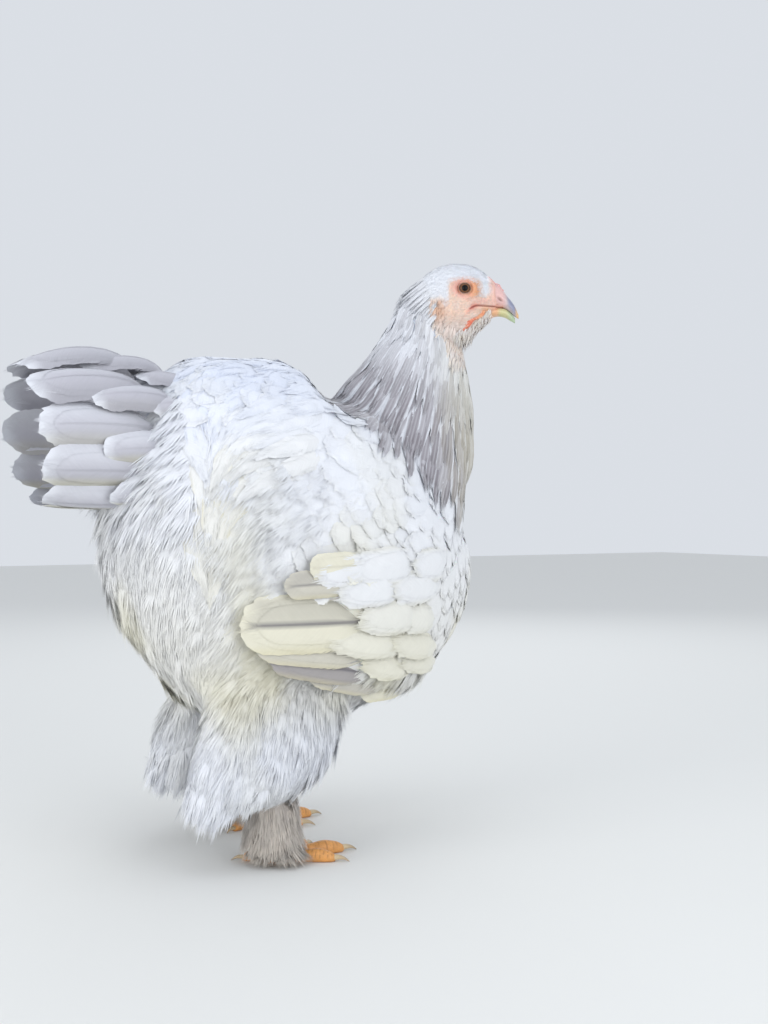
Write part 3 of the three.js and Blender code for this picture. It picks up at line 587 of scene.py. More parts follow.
def dress(name, template, path, up, half, tint, unwrap, material, slot, seed=0,
          ragged=0.05, fluffy=0.05, cup=0.12, patch=PATCH, soft=0.5, rough=0.12, blend=False, replaced=()):
    """Feathers along the lines, half as wide as half says.

    tint(s, w, place, chance) colours them, where place is their roots, or each of their points with blend.
    unwrap(roots) sets them on the map. ragged and fluffy move their barbs along and off them. cup bends
    their edges down, soft is the share of that bend that the shading shows, and rough turns the barbs.
    """
    rng = np.random.default_rng(seed)
    n = len(path)
    q = len(template.s)
    parts = template.part.max() + 1
    half = np.broadcast_to(np.reshape(half, (-1, 1)), (n, 1))
    off = rng.normal(0, 1, (n, parts, 3))[:, template.part] * template.tip[None, :, None]
    s = template.s[None] + off[..., 0] * ragged
    w = template.w[None] * (1 + off[..., 1] * ragged * 1.5)
    h = template.h[None] + off[..., 2] * fluffy
    at = along(path, s)
    ahead = unit(along(path, s + 0.03) - along(path, s - 0.03))
    out = unit(along(up, np.clip(s, 0, 1)))
    side = unit(np.cross(ahead, out))
    out = np.cross(side, ahead)
    lifted = h - cup * w**2
    points = at + side * (w * half)[..., None] + out * (lifted * half)[..., None]
    tilt = 2 * cup * w * soft + rng.normal(0, rough, (n, parts))[:, template.part]
    sway = rng.normal(0, rough, (n, parts))[:, template.part]
    normals = unit(out + side * tilt[..., None] + ahead * sway[..., None])
    points[..., 2] = np.maximum(points[..., 2], FLOOR_CLEAR)
    long = np.linalg.norm(np.diff(path, axis=1), axis=-1).sum(1)[:, None]
    chance = rng.random((n, 1))
    colour = tint(np.clip(s, 0, 1), w, at if blend else path[:, :1], chance)
    where = vec(s * long, w * half, chance * 40)
    root = unwrap(path[:, 0])[:, None]
    local = np.stack([np.clip(template.s, 0, 1) - 0.5, template.w * 0.5], -1)[None] * patch
    uv = root + local
    each = max(1, MOST // len(template.faces))
    for first in range(0, n, each):
        last = min(n, first + each)
        k = last - first
        faces = (template.faces[None] + (np.arange(k) * q)[:, None, None]).reshape(-1, 3)
        corner = points[first:last].reshape(-1, 3)[faces]
        facing = np.cross(corner[:, 1] - corner[:, 0], corner[:, 2] - corner[:, 0])
        wrong = (facing * normals[first:last].reshape(-1, 3)[faces].sum(1)).sum(-1) < 0
        faces[wrong] = faces[wrong][:, ::-1]
        piece = make_mesh(
            name if n <= each else f"{name}_{first // each + 1}",
            points[first:last].reshape(-1, 3),
            faces,
            tint=colour[first:last].reshape(-1, 3),
            vane=where[first:last].reshape(-1, 3),
            uv=uv[first:last].reshape(-1, 2),
            normals=normals[first:last].reshape(-1, 3),
        )
        settle(piece, material, slot, *(replaced if first == 0 else ()))


def raised(path, up, heights, lift=0.0):
    """The lines off the form by heights given at even steps from root to tip, and by lift at each point."""
    share = np.linspace(0, 1, path.shape[1])
    height = np.interp(share, np.linspace(0, 1, len(heights)), heights)
    return path + up * height[None, :, None] + up * np.asarray(lift)[..., None]


def straight(start, way, length, steps=7):
    """Straight lines of the given lengths from their starts."""
    reach = np.linspace(0, 1, steps) * np.reshape(length, (-1, 1))
    return start[:, None] + way[:, None] * reach[..., None]


def for_steps(out, steps=7):
    """One way out for each line, said again for each of its points."""
    return np.repeat(out[:, None], steps, 1)


# Materials

class Nodes:
    def __init__(self, name):
        self.material = bpy.data.materials.new(name)
        self.material.use_nodes = True
        self.tree = self.material.node_tree
        self.shader = self.tree.nodes["Principled BSDF"]

    def add(self, kind, **inputs):
        node = self.tree.nodes.new(kind)
        for key, value in inputs.items():
            if key.startswith("set_"):
                setattr(node, key[4:], value)
            elif key.startswith("in_"):
                self.put(node.inputs[int(key[3:])], value)
            else:
                self.put(node.inputs[key.replace("_", " ")], value)
        return node

    def finish(self, **values):
        """Values that are the same all over, on the shader's own sockets."""
        for key, value in values.items():
            self.shader.inputs[key.replace("_", " ")].default_value = value
        return self.material

    def put(self, socket, value):
        if isinstance(value, bpy.types.NodeSocket):
            self.tree.links.new(value, socket)
        else:
            socket.default_value = value

    def maths(self, operation, a, b=0.0):
        node = self.add("ShaderNodeMath", set_operation=operation, in_0=a, in_1=b)
        return node.outputs[0]

    def attribute(self, name):
        return self.add("ShaderNodeAttribute", set_attribute_name=name)

    def shaded(self, colour, low, high, value):
        """colour made darker or lighter as value goes from 0 to 1."""
        level = self.add("ShaderNodeMapRange", Value=value)
        level.inputs["To Min"].default_value = low
        level.inputs["To Max"].default_value = high
        level = level.outputs[0]
        grey = self.add("ShaderNodeCombineColor", Red=level, Green=level, Blue=level)
        node = self.add("ShaderNodeMix", set_data_type="RGBA", set_blend_type="MULTIPLY")
        node.inputs[0].default_value = 1.0
        self.put(node.inputs[6], colour)
        self.put(node.inputs[7], grey.outputs[0])
        return node.outputs[2]

    def bump(self, height, strength, distance):
        node = self.add("ShaderNodeBump", Height=height)
        node.inputs["Strength"].default_value = strength
        node.inputs["Distance"].default_value = distance
        self.put(self.shader.inputs["Normal"], node.outputs[0])


def feather_material(name, streak, rough=0.75, sheen=0.25, deep=0.0004, scale=1.5):
    """Feather: its tint, with fine streaks that run along the barbs."""
    m = Nodes(name)
    tint = m.attribute("tint")
    where = m.attribute("vane")
    split = m.add("ShaderNodeSeparateXYZ", Vector=where.outputs["Vector"])
    across = m.maths("ABSOLUTE", split.outputs[1])
    barb = m.maths("SUBTRACT", split.outputs[0], across)
    line = m.add(
        "ShaderNodeCombineXYZ",
        X=m.maths("MULTIPLY", barb, scale),
        Y=m.maths("MULTIPLY", split.outputs[1], 0.12),
        Z=split.outputs[2],
    )
    noise = m.add("ShaderNodeTexNoise", Vector=line.outputs[0], Scale=1.0, Detail=2.0)
    colour = m.shaded(tint.outputs["Color"], 1 - streak, 1 + streak * 0.5, noise.outputs[0])
    m.put(m.shader.inputs["Base Color"], colour)
    m.bump(noise.outputs[0], 0.5, deep)
    return m.finish(Roughness=rough, Specular_IOR_Level=0.25, Sheen_Weight=sheen, Sheen_Roughness=0.5)


def skin_material(name, size, rough, depth, blotch, subsurface=0.0, coat=0.0, gloss=0.5):
    """Skin, scale or horn: its tint with lumps of about size millimetres."""
    m = Nodes(name)
    tint = m.attribute("tint")
    place = m.add("ShaderNodeNewGeometry").outputs["Position"]
    fine = m.add("ShaderNodeTexNoise", Vector=place, Scale=1 / (size * MM), Detail=3.0)
    coarse = m.add("ShaderNodeTexNoise", Vector=place, Scale=0.2 / (size * MM), Detail=2.0)
    both = m.maths("MULTIPLY", fine.outputs[0], coarse.outputs[0])
    lumps = m.maths("MULTIPLY", both, 2.2)
    m.put(m.shader.inputs["Base Color"], m.shaded(tint.outputs["Color"], 1 - blotch, 1 + blotch, lumps))
    m.bump(fine.outputs[0], 0.6, depth * MM)
    return m.finish(
        Roughness=rough,
        Subsurface_Weight=subsurface,
        Subsurface_Scale=0.004,
        Coat_Weight=coat,
        Specular_IOR_Level=gloss,
        Coat_Roughness=0.05,
    )


FEATHER = feather_material("body_feathers", 0.10, sheen=0.5)
DOWN = feather_material("down", 0.08, rough=0.9, sheen=0.6)
FIRM = feather_material("firm_feathers", 0.12, rough=0.6, sheen=0.15, deep=0.0003, scale=2.2)
SKIN = skin_material("skin", 0.8, 0.6, 0.25, 0.12, subsurface=0.1)
COMB = skin_material("comb", 0.7, 0.5, 0.3, 0.25, subsurface=0.15)
HORN = skin_material("horn", 1.6, 0.35, 0.05, 0.12, coat=0.2)
SCALE = skin_material("scale", 1.0, 0.5, 0.12, 0.2)
EYE = skin_material("eye", 0.5, 0.3, 0.0, 0.15, coat=0.15, gloss=0.1)


# The body's outer form and the skin inside it

def lofted(surface, stations, around):
    """Rings of a surface, (stations, around, 3)."""
    s, a = np.meshgrid(stations, np.arange(around) * 360 / around, indexing="ij")
    return surface(s, a)


def wing_pad(side, out, behind):
    """The wing as a closed shape, from behind to out of its own surface."""
    x = np.linspace(-20, 150, 24)
    share = np.linspace(0, 1, 14)
    z = wing_low(x)[:, None] + (wing_high(x) - wing_low(x))[:, None] * (0.5 - 0.5 * np.cos(math.pi * share))
    edge = np.maximum(np.abs(2 * share - 1)[None] ** 4, np.linspace(-0.4, 1, 24)[:, None] ** 5)
    face = wing_skin(side, x[:, None], z, out - 9 * edge)
    back = wing_skin(side, x[:, None], z, behind)
    return np.concatenate([face, back[:, ::-1]], 1)


def body_shapes(grow):
    t = np.linspace(0, 1, 40)
    torso_x = mix(TORSO_X[0] + 0.5, TORSO_X[-1] - 0.5, 0.5 - 0.5 * np.cos(math.pi * t))
    shapes = [
        lofted(lambda x, a: torso(x, a, grow), torso_x, 48),
        lofted(lambda v, a: neck_skin(v, a, grow), np.linspace(-0.15, 1.02, 22), 40),
    ]
    u = np.linspace(8, 74, 8)
    core = lofted(lambda d, a: tail_skin(d, a, grow - 5 - 26 * smooth(36, 74, d)), u, 32)
    shapes.append(core)
    for word, side in SIDES:
        z = np.linspace(52, 200, 20)
        shapes.append(lofted(lambda d, a: thigh_skin(word, side, d, a, grow), z, 32))
    return shapes


def neck_height(p):
    """How far a point is above the level, sloping down forward, where the neck leaves the body."""
    level = (p[..., 0] - 60) * 0.45 + (p[..., 2] - 400) * 0.89
    return np.minimum(level, (p[..., 0] - 50) * 0.9 + (p[..., 2] - 405) * 0.45)


def billowed(points, faces, in_by):
    """The form with the soft lumps that plumage lies in, moved in by so many millimetres."""
    out = vertex_normals(points, faces)
    x, z = points[:, 0], points[:, 2]
    loose = np.maximum(smooth(60, -40, x), smooth(150, 110, z))
    lumps = (0.8 + 1.7 * loose) * wobble(points, 27, 6.0) * smooth(500, 440, z)
    dip = 7 * smooth(-10, 35, x) * smooth(8, -12, neck_height(points)) * smooth(392, 410, z)
    dip = dip + 11 * spot(x, 50, 17) * smooth(384, 402, z)
    dip = dip + 8 * spot(z, 312, 26) * smooth(165, 190, x)
    q = to_head(points + out * (lumps - in_by - dip)[:, None])
    top = smooth(446, 486, z)
    q[:, 1] = (q[:, 1] + 8 * top) * (1 - 0.28 * top)
    return from_head(q), faces


WING_PADS = [wing_pad(side, 2, -16) for _, side in SIDES]
bare_points, bare_faces = fused("form", body_shapes(0) + WING_PADS, 3.6, 16)
form = Form(*billowed(bare_points, bare_faces, 2.5))


def way_of_coat(p):
    """The lie of the body's feathers."""
    x, y, z = p[..., 0], p[..., 1], p[..., 2]
    side = np.clip(np.abs(y) / 100, 0, 1)
    back = vec(-1, 0, -0.12 - 0.5 * side)
    front = vec(-0.45, y * 0.002, -1)
    rear = vec(-0.4, y * 0.001, -1)
    neck = vec(-0.3 + (x - 150) * 0.004, y * 0.004, -1)
    way = mix_each(back, front, smooth(110, 185, x))
    lower = smooth(-20, -120, x) * smooth(400, 340, z)
    lower = np.maximum(lower, smooth(190, 150, z))
    way = mix_each(way, rear, lower)
    way = mix_each(way, neck, smooth(-15, 20, neck_height(p)))
    sway = wobble(p, 30)[..., None] * vec(0.15, 0.1, 0)
    return unit(way) + sway


# Colours over the body, the same for the skin and the coat

def body_white(p):
    """White above, under a painted cast of bluish sky light on the top of the back; ivory and cream lower
    down as painted shade, and cream also in patches that vary at random.
    """
    # Ivory lower down: painted shade on the lower body.
    low = smooth(360, 150, p[..., 2])[..., None] * smooth(95, 150, p[..., 2])[..., None]
    c = mix(WHITE, IVORY, low * 0.6)
    # The top of the back in a painted cast of bluish sky light.
    c = mix_each(c, PAINTED_SKY_BLUE, 0.9 * smooth(370, 430, p[..., 2]))
    # Cream in patches that vary at random, with more of it lower down as painted shade.
    warm = smooth(-0.1, 0.6, wobble(p, 44, 2.0))[..., None]
    return mix(c, CREAM, warm * (0.12 + 0.5 * low))


def face_edge(x, z):
    """How far behind the rear edge of the bare face and throat a point of the head's frame is."""
    return -28.5 - 0.47 * (30 + z) - x


def over_body(p):
    """The colour of the coat at points on the body: grey on the neck, white elsewhere."""
    c = body_white(p)
    up = neck_height(p)
    grey = smooth(-6, 10, up) * smooth(118, 60, up)
    c = mix_each(c, GREY, grey * 0.85)
    x, z = head_xz(p)
    bare = smooth(4, -3, face_edge(x, z)) * smooth(-76, -66, z)
    c = mix_each(c, mix(PEACH, IVORY, 0.3), bare)
    tail = smooth(-112, -128, p[..., 0]) * smooth(290, 320, p[..., 2])
    return mix_each(c, LAVENDER, tail * 0.7)


WING_SIDE = 40
WING_MIDDLE = 26


def out_at_side(p):
    """True where the wings lie, away from the middle of the back and breast."""
    return np.abs(p[..., 1]) > WING_SIDE


def under_flight(p):
    """True where the flight feathers cover the wing."""
    x, z = p[..., 0], p[..., 2]
    return (z > wing_low(x) + 4) & (z < wing_high(x) - 14) & (x > -20) & (x < 46) & out_at_side(p)


MAP_EDGE = 0.02


def on_map(u, v):
    return MAP_EDGE + (1 - 2 * MAP_EDGE) * np.stack([u, v], -1)


def round_body(p):
    """The body's skin unrolled along X and round it."""
    u = (p[..., 0] + 240) / 480
    v = np.arctan2(p[..., 2] - 270, p[..., 1]) / (2 * math.pi) + 0.5
    return on_map(u, v)


def round_post(x, y, low, high):
    """The skin of an upright part unrolled round the axis at x and y."""
    def unwrap(p):
        u = (p[..., 2] - low) / (high - low)
        v = np.arctan2(p[..., 1] - y, p[..., 0] - x) / (2 * math.pi) + 0.5
        return on_map(np.clip(u, 0, 1), v)
    return unwrap


# Head skin

def eye_ring(x, z, wide, high, middle=1.5):
    """How far a point is from the eye, as a share of an oval that is this wide and high to each side."""
    return np.sqrt(((x - middle) / wide) ** 2 + ((z - EYE_Z) / high) ** 2)


def mouth_line(x):
    return -19.8 - 0.045 * np.maximum(14 - x, 0) ** 2


def head_rings():
    x = np.linspace(HEAD_X[0], HEAD_X[-1], 150)
    a = np.arange(220) * 2 * math.pi / 220
    x, a = np.meshgrid(x, a, indexing="ij")
    top = head_top(x)
    bottom = head_bottom(x)
    level = mix(bottom, top, HEAD_LEVEL)
    u = power(np.sin(a), 2 / BULGE)
    y = head_half(x) * power(np.cos(a), 2 / BULGE)
    z = level + np.where(u > 0, top - level, level - bottom) * u
    p = vec(x, y, z)
    side = np.sign(y)
    facing = np.abs(y) > 4
    # Brow, cheek and throat
    brow = spot(x, 2, 11, z, 8, 3.5)
    cheek = spot(x, -12, 10, z, -20, 8)
    hollow = spot(x, 17, 7, z, -7, 6)
    p[..., 1] += side * (1.3 * brow + 1.0 * cheek - 1.4 * hollow)
    # The face narrows to go inside the beak
    inside = 1 - 0.3 * smooth(29, 33, x)
    p[..., 1] *= inside
    p[..., 2] = mix(-12, p[..., 2], inside)
    # The lids close on the eyeball, with fine folds round them
    ring = eye_ring(x, z, LID_X, LID_Z, 0)
    ball = EYE_OUT + np.sqrt(np.maximum(EYE_RADIUS**2 - x**2 - (z - EYE_Z) ** 2, 0))
    lid = ball + 0.7
    near = smooth(1.9, 1.05, ring) * facing
    outward = mix(np.abs(p[..., 1]), lid, near)
    outward = outward + 0.28 * np.sin(ring * 17) * smooth(2.4, 1.3, ring) * smooth(1.0, 1.15, ring)
    outward = outward + 0.8 * spot(ring, 1.12, 0.1) * facing
    outward = np.where((ring < 1) & facing, ball - 2.5 * smooth(1.0, 0.8, ring), outward)
    p[..., 1] = np.where(facing, side * outward, p[..., 1])
    # The line of the mouth and its soft corner
    mouth = mouth_line(x)
    slit = spot(z, mouth, 0.7) * smooth(3, 7, x)
    lips = spot(np.abs(z - mouth), 1.6, 0.9) * smooth(2, 8, x)
    p[..., 1] += side * facing * (0.7 * lips - 1.6 * slit)
    # The ear's hollow and lobe
    ear = spot(x, -27, 3.6, z, -17, 4.2)
    rim = spot(np.hypot((x + 27) / 4.8, (z + 17) / 5.8), 1, 0.22)
    lobe = spot(x, -22, 4.5, z, -28, 6)
    p[..., 1] += side * facing * (0.9 * rim - 3.0 * ear + 1.6 * lobe)
    p[..., 1] += side * facing * 0.18 * np.sin(x * 2.1 + np.sin(z * 1.3)) * np.sin(z * 2.4)
    return p


def over_head(q):
    """The face's colours, from points in the head's own frame."""
    x, z = q[..., 0], q[..., 2]
    c = mix_each(PEACH, BLUSH, 0.5 + 0.5 * wobble(q, 5))
    behind = smooth(-13, -19, x) * smooth(-18, -12, z)
    ahead = smooth(14, 19, x) * smooth(-12, -6, z)
    crown = smooth(2, 9, z) + behind + ahead
    crown = np.clip(crown, 0, 1) * smooth(30, 23, x + 2 * wobble(q, 4))
    c = mix_each(c, WHITE, crown)
    bare = smooth(1.2, 0.75, eye_ring(x, z, 15.5, 11))
    c = mix_each(c, mix_each(PINK, ORANGE, smooth(-2, 12, x)), bare)
    ear = spot(x, -25, 4.5, z, -25, 10)
    c = mix_each(c, ORANGE, 0.8 * ear)
    lores = spot(x, 18, 12, z, -15.5, 3.6)
    lores = np.maximum(lores, smooth(21, 29, x) * smooth(-26, -22, z))
    c = mix_each(c, PINK, 0.75 * lores)
    line = mouth_line(x)
    mouth = spot(z, line, 0.8) * smooth(3, 7, x)
    corner = spot(x, 8, 6, z, line, 3)
    c = mix_each(c, RED, 0.75 * corner)
    # The mouth's slit is painted dark: painted shade in its crease.
    c = mix_each(c, RED * 0.3, 0.85 * mouth)
    lip = spot(z - line, -4, 3) * smooth(12, 20, x)
    c = mix_each(c, ORANGE, 0.8 * lip)
    jaw = smooth(-30, -42, z)
    c = mix_each(c, mix(WHITE, PEACH, 0.5), 0.8 * jaw)
    rim = eye_ring(x, z, LID_X, LID_Z, 0)
    c = mix_each(c, ORANGE * 0.55, smooth(1.5, 1.2, rim) * 0.6)
    return mix_each(c, UMBER * 0.25, smooth(1.22, 1.05, rim) * 0.85)


head_points, head_parts = closed_tube(head_rings())
head_faces = np.concatenate(head_parts)
COAT_DEPTH = 4.0
skin_points, skin_faces = billowed(bare_points, bare_faces, COAT_DEPTH)
offset = len(skin_points)
skin = make_mesh(
    "skin",
    np.concatenate([skin_points, from_head(head_points)]),
    np.concatenate([clean_faces([skin_faces]), clean_faces([head_faces]) + offset]),
    tint=np.concatenate([over_body(skin_points), over_head(head_points)]),
)
settle(skin, SKIN, "face_skin",
       "breast", "belly", "flank", "vent", "saddle", "neck", "head", "thigh_right", "thigh_left")


# Outlines of the feathers, as half width along them

round_outline = curve([0, 0.12, 0.45, 0.8, 0.94, 1.0], [0.2, 0.6, 1.0, 0.86, 0.5, 0.0])
lance_outline = curve([0, 0.12, 0.4, 0.7, 0.9, 1.0], [0.2, 0.65, 1.0, 0.66, 0.28, 0.0])


def broad_outline(t):
    t = np.asarray(t, float)
    tip = np.sqrt(np.clip(1 - (np.maximum(t - 0.78, 0) / 0.22) ** 2, 0, 1))
    return tip * (0.12 + 0.88 * smooth(-0.05, 0.4, t))


SOFT = vane(10, 8, round_outline, 0.1, shaft=False) + fringe(34, round_outline, 0.10)
LANCE = vane(12, 6, lance_outline, 0.1, shaft=False) + fringe(22, lance_outline, 0.14)
LACE = vane(14, 8, lance_outline, 0.1, shaft=False) + fringe(20, lance_outline, 0.1)
COVERT = vane(14, 10, round_outline, 0.1, shaft=False) + fringe(80, round_outline, 0.1)
PLUMY = down(9, 1.15, 0.1) + down(6, 0.7, 0.1)
BROAD = vane(24, 12, broad_outline, 0.06) + fringe(60, broad_outline, 0.035)


# Body coat

def fluffiness(p):
    """1 where the coat is down and 0 where it is smooth feathers."""
    x, z = p[..., 0], p[..., 2]
    rear = smooth(20, -60, x) * smooth(350, 290, z)
    under = smooth(170, 130, z)
    tail = smooth(-118, -132, x)
    return np.clip(np.maximum(rear, under) + tail * smooth(330, 300, z), 0, 1)


def body_tint(s, w, place, chance):
    c = body_white(place)
    light = 0.96 + 0.05 * chance[..., None] + 0.03 * smooth(0.5, 1, s)[..., None]
    edge = smooth(0.75, 1.05, np.maximum(np.abs(w), s**3))[..., None]
    return mix(c * light, CREAM * 0.98, edge * 0.12)


def on_trunk(p):
    """1 on the torso, outside the neck, the tail's root and the parts of the wings that their flight
    feathers and coverts cover.
    """
    keep = (neck_height(p) < -4) & ~under_flight(p)
    keep &= ~((p[..., 0] < -118) & (p[..., 2] > 344))
    covered = (np.abs(p[..., 0] - WING_MIDDLE) < 46) & (p[..., 2] > wing_low(p[..., 0])) & out_at_side(p)
    keep &= ~(covered & (p[..., 2] < wing_high(p[..., 0]) - 20))
    return keep


def stray(path, rng, share, high):
    """Some lines, that share of them, stand off towards their tips."""
    some = (rng.random(len(path)) < share) * rng.uniform(0.3, 1, len(path)) * high
    return some[:, None] * np.linspace(0, 1, path.shape[1]) ** 1.3


def billow(path, roots, size, seed, high):
    """Lines raised towards their tips in soft lumps about size millimetres across."""
    share = np.linspace(0, 1, path.shape[1]) ** 1.5
    lump = high * smooth(-0.3, 1, wobble(roots, size, seed))
    return lump[:, None] * share[None]


roots = form.scatter(lambda p: on_trunk(p) * (fluffiness(p) < 0.6), 11.0, 11)
rng = np.random.default_rng(21)
big = 1 + 0.2 * smooth(150, 60, roots[:, 0]) + rng.normal(0, 0.08, len(roots))
# Shorter just above the wing, so that none comes out through its coverts
above_wing = smooth(40, 15, roots[:, 2] - wing_high(roots[:, 0]))
above_wing *= smooth(80, 60, np.abs(roots[:, 0] - WING_MIDDLE))
above_wing *= out_at_side(roots)
length = 36 * big * (1 - 0.45 * above_wing)
path, up = form.flow_paths(roots, way_of_coat, length, 6, rng, 0.15)
front = smooth(120, 190, roots[:, 0])
close = np.maximum(smooth(95, 140, roots[:, 0]), smooth(410, 435, roots[:, 2]))
lift = billow(path, roots, 24, 3.0, 2.0) * (1 - 0.8 * close[:, None])
lift -= (0.6 * smooth(-80, -35, neck_height(roots)))[:, None] * np.linspace(0, 1, 7)
path = raised(path, up, [-1.8, -0.2, 0.5, 0.8], lift)
half = (12.5 - 3.5 * front) * big
dress("body_coat", SOFT, path, up, half, body_tint, round_body, FEATHER, "body_feathers", seed=1,
      ragged=0.03, fluffy=0.02, cup=0.1 + 0.15 * close[:, None], soft=0.2, rough=0.04, blend=True)


def on_fluff(p):
    """As on_trunk where the coat is down, and not above the wing, whose coverts lie over it."""
    x, z = p[..., 0], p[..., 2]
    above = (x > -28) & (z > wing_low(x) - 14 * (x > 40)) & (z < wing_high(x) + 45) & out_at_side(p)
    return on_trunk(p) * fluffiness(p) * ~above


roots = form.scatter(on_fluff, 4.4, 31)
rng = np.random.default_rng(22)
length = rng.uniform(26, 42, len(roots)) * (1 + 0.3 * wobble(roots, 16, 1.0))
path, up = form.flow_paths(roots, way_of_coat, length, 5, rng, 0.2)
lift = billow(path, roots, 22, 5.0, 6.0) + stray(path, rng, 0.1, 4)
path = raised(path, up, [-4, -0.5, 1.6, 2.2], lift)
dress("fluff", PLUMY, path, up, 8.0, body_tint, round_body, DOWN, "body_feathers",
      seed=2, ragged=0.08, fluffy=0.05, cup=0.1, rough=0.05, blend=True)


# Thighs

for number, (word, side) in enumerate(SIDES):
    stance = STANCE[word]
    middle_x = stance["hock"] - 45

    def on_thigh(p):
        near = (np.sign(p[..., 1]) == side) & (p[..., 2] < 172)
        return near & (np.abs(p[..., 1]) > 26)

    roots = form.scatter(on_thigh, 4.8, 41 + number)
    rng = np.random.default_rng(51 + number)
    low = smooth(110, 62, roots[:, 2])
    length = rng.uniform(30, 44, len(roots)) * (1 - 0.25 * low)
    path, up = form.flow_paths(roots, way_of_coat, length, 5, rng, 0.15)
    lift = billow(path, roots, 34, 2.0 + number, 9.0) + stray(path, rng, 0.1, 4)
    path = raised(path, up, [-4, -0.5, 1.2, 2.5], lift)
    unwrap = round_post(middle_x, side * stance["hock_out"], 40, 160)
    dress(f"thigh_coat_{word}", PLUMY, path, up, 7.5, body_tint, unwrap, DOWN, "body_feathers",
          seed=60 + number, ragged=0.07, fluffy=0.05, cup=0.12, rough=0.06, blend=True)

    # Tufts behind the hock point down and back
    def on_hock(p):
        return on_thigh(p) & (p[..., 2] < 92) & (p[..., 0] < middle_x - 8)

    roots = form.scatter(on_hock, 7.0, 151 + number)
    length = rng.uniform(14, 23, len(roots)) + 0.35 * (roots[:, 2] - 60)
    length += 13 * smooth(middle_x - 26, middle_x - 42, roots[:, 0])
    at, out = form.nearest(roots)
    way = unit(np.array((-0.35, 0.0, -1.0)) + out * (0.25, 0.25, 0) + rng.normal(0, 0.06, out.shape))
    path = straight(at - out * 3, way, length, 8)
    path -= out[:, None] * (5 * np.linspace(0, 1, 8) ** 2)[:, None] * (1, 1, 0)
    up = for_steps(unit(out + (0, 0, 0.5)), 8)
    dress(f"hock_coat_{word}", PLUMY, path, up, 6.5, body_tint, unwrap, DOWN, "body_feathers",
          seed=155 + number, ragged=0.07, fluffy=0.08, cup=0.2)


# Saddle: long soft feathers that droop over the rear flank

def saddle_way(p):
    x, y = p[..., 0], p[..., 1]
    over = vec(-1, y * 0.004, -0.1)
    curl = smooth(-40, -115, x)
    droop = vec(1.15 * curl - 1, 0, -0.35 - 0.8 * curl)
    way = mix_each(over, droop, smooth(20, 70, np.abs(y)))
    return unit(way) + wobble(p, 26, 4.0)[..., None] * np.array((0.4, 0.0, 0.3))


def on_saddle(p):
    x, z = p[..., 0], p[..., 2]
    side = (np.abs(p[..., 1]) > 30) | (z < 405)
    return side & (x < 24) & (x > -114) & (z > 308 + 42 * smooth(-70, -10, x))


def saddle_tint(s, w, place, chance):
    # Ivory lower down is painted shade, and the blue on top is a painted cast of sky light.
    c = mix_each(WHITE, IVORY, smooth(420, 330, place[..., 2]) * 0.4)
    c = mix_each(c, PAINTED_SKY_BLUE, 0.9 * smooth(370, 430, place[..., 2]))
    edge = smooth(0.5, 1.0, np.abs(w))[..., None]
    # Straw over the lower rear of the saddle is painted shade, stronger on some feathers and towards their
    # edges.
    behind = smooth(410, 340, place[..., 2]) * smooth(0, -50, place[..., 0])
    warm = ((0.35 + 0.6 * chance) * behind)[..., None]
    return mix(c * (0.96 + 0.05 * chance[..., None]), STRAW, edge * 0.6 * warm + warm * 0.22)


roots = form.scatter(on_saddle, 12.5, 71)
rng = np.random.default_rng(72)
low = smooth(20, 85, np.abs(roots[:, 1]))
length = 46 + 42 * low + rng.normal(0, 6, len(roots))
path, up = form.flow_paths(roots, saddle_way, length, 10, rng, 0.3)
flat = smooth(390, 425, roots[:, 2])[:, None]
lift = billow(path, roots, 20, 7.0, 3.0) * (1 - 0.8 * flat) - 2.0 * flat * np.linspace(0, 1, 11)
path = raised(path, up, [-3.0, 0.6, 2.2, 2.6, 1.8], lift)
dress("saddle_coat", LANCE, path, up, 8.0 + 2 * low, saddle_tint, round_body, FEATHER, "body_feathers",
      seed=73, ragged=0.04, fluffy=0.07, cup=0.2)


# Hackle

def hackle_tint(s, w, place, chance):
    up = neck_height(place)
    front = smooth(140, 195, place[..., 0])[..., None]
    pale = smooth(65, 115, up) * 0.65 + 0.25 * smooth(0.5, 1.0, chance)
    c = mix_each(mix(GREY, UMBER, 0.8 * front), WHITE * 0.9, np.clip(pale, 0, 1))
    rim = smooth(0.42, 0.62, np.abs(w)) * smooth(0.1, 0.3, s) + smooth(0.9, 0.97, s)
    shaft = smooth(0.09, 0.03, np.abs(w)) * 0.25
    c = mix_each(c * (0.84 + 0.24 * chance[..., None]), WHITE * 0.97, np.clip(rim * 0.85 + shaft, 0, 1))
    return mix(c, CREAM, 0.35 * front)


def on_neck(p):
    up = neck_height(p)
    x, z = head_xz(p)
    clear = (face_edge(x, z) > 0) | (z < -68)
    return (up > 0) & clear


def hackle_way(p):
    x = p[..., 0]
    way = vec(-0.3 + np.minimum(x - 150, 0) * 0.008 + np.maximum(x - 150, 0) * 0.004, p[..., 1] * 0.004, -1)
    return unit(way) + wobble(p, 17)[..., None] * np.array((0.14, 0.1, 0.0))


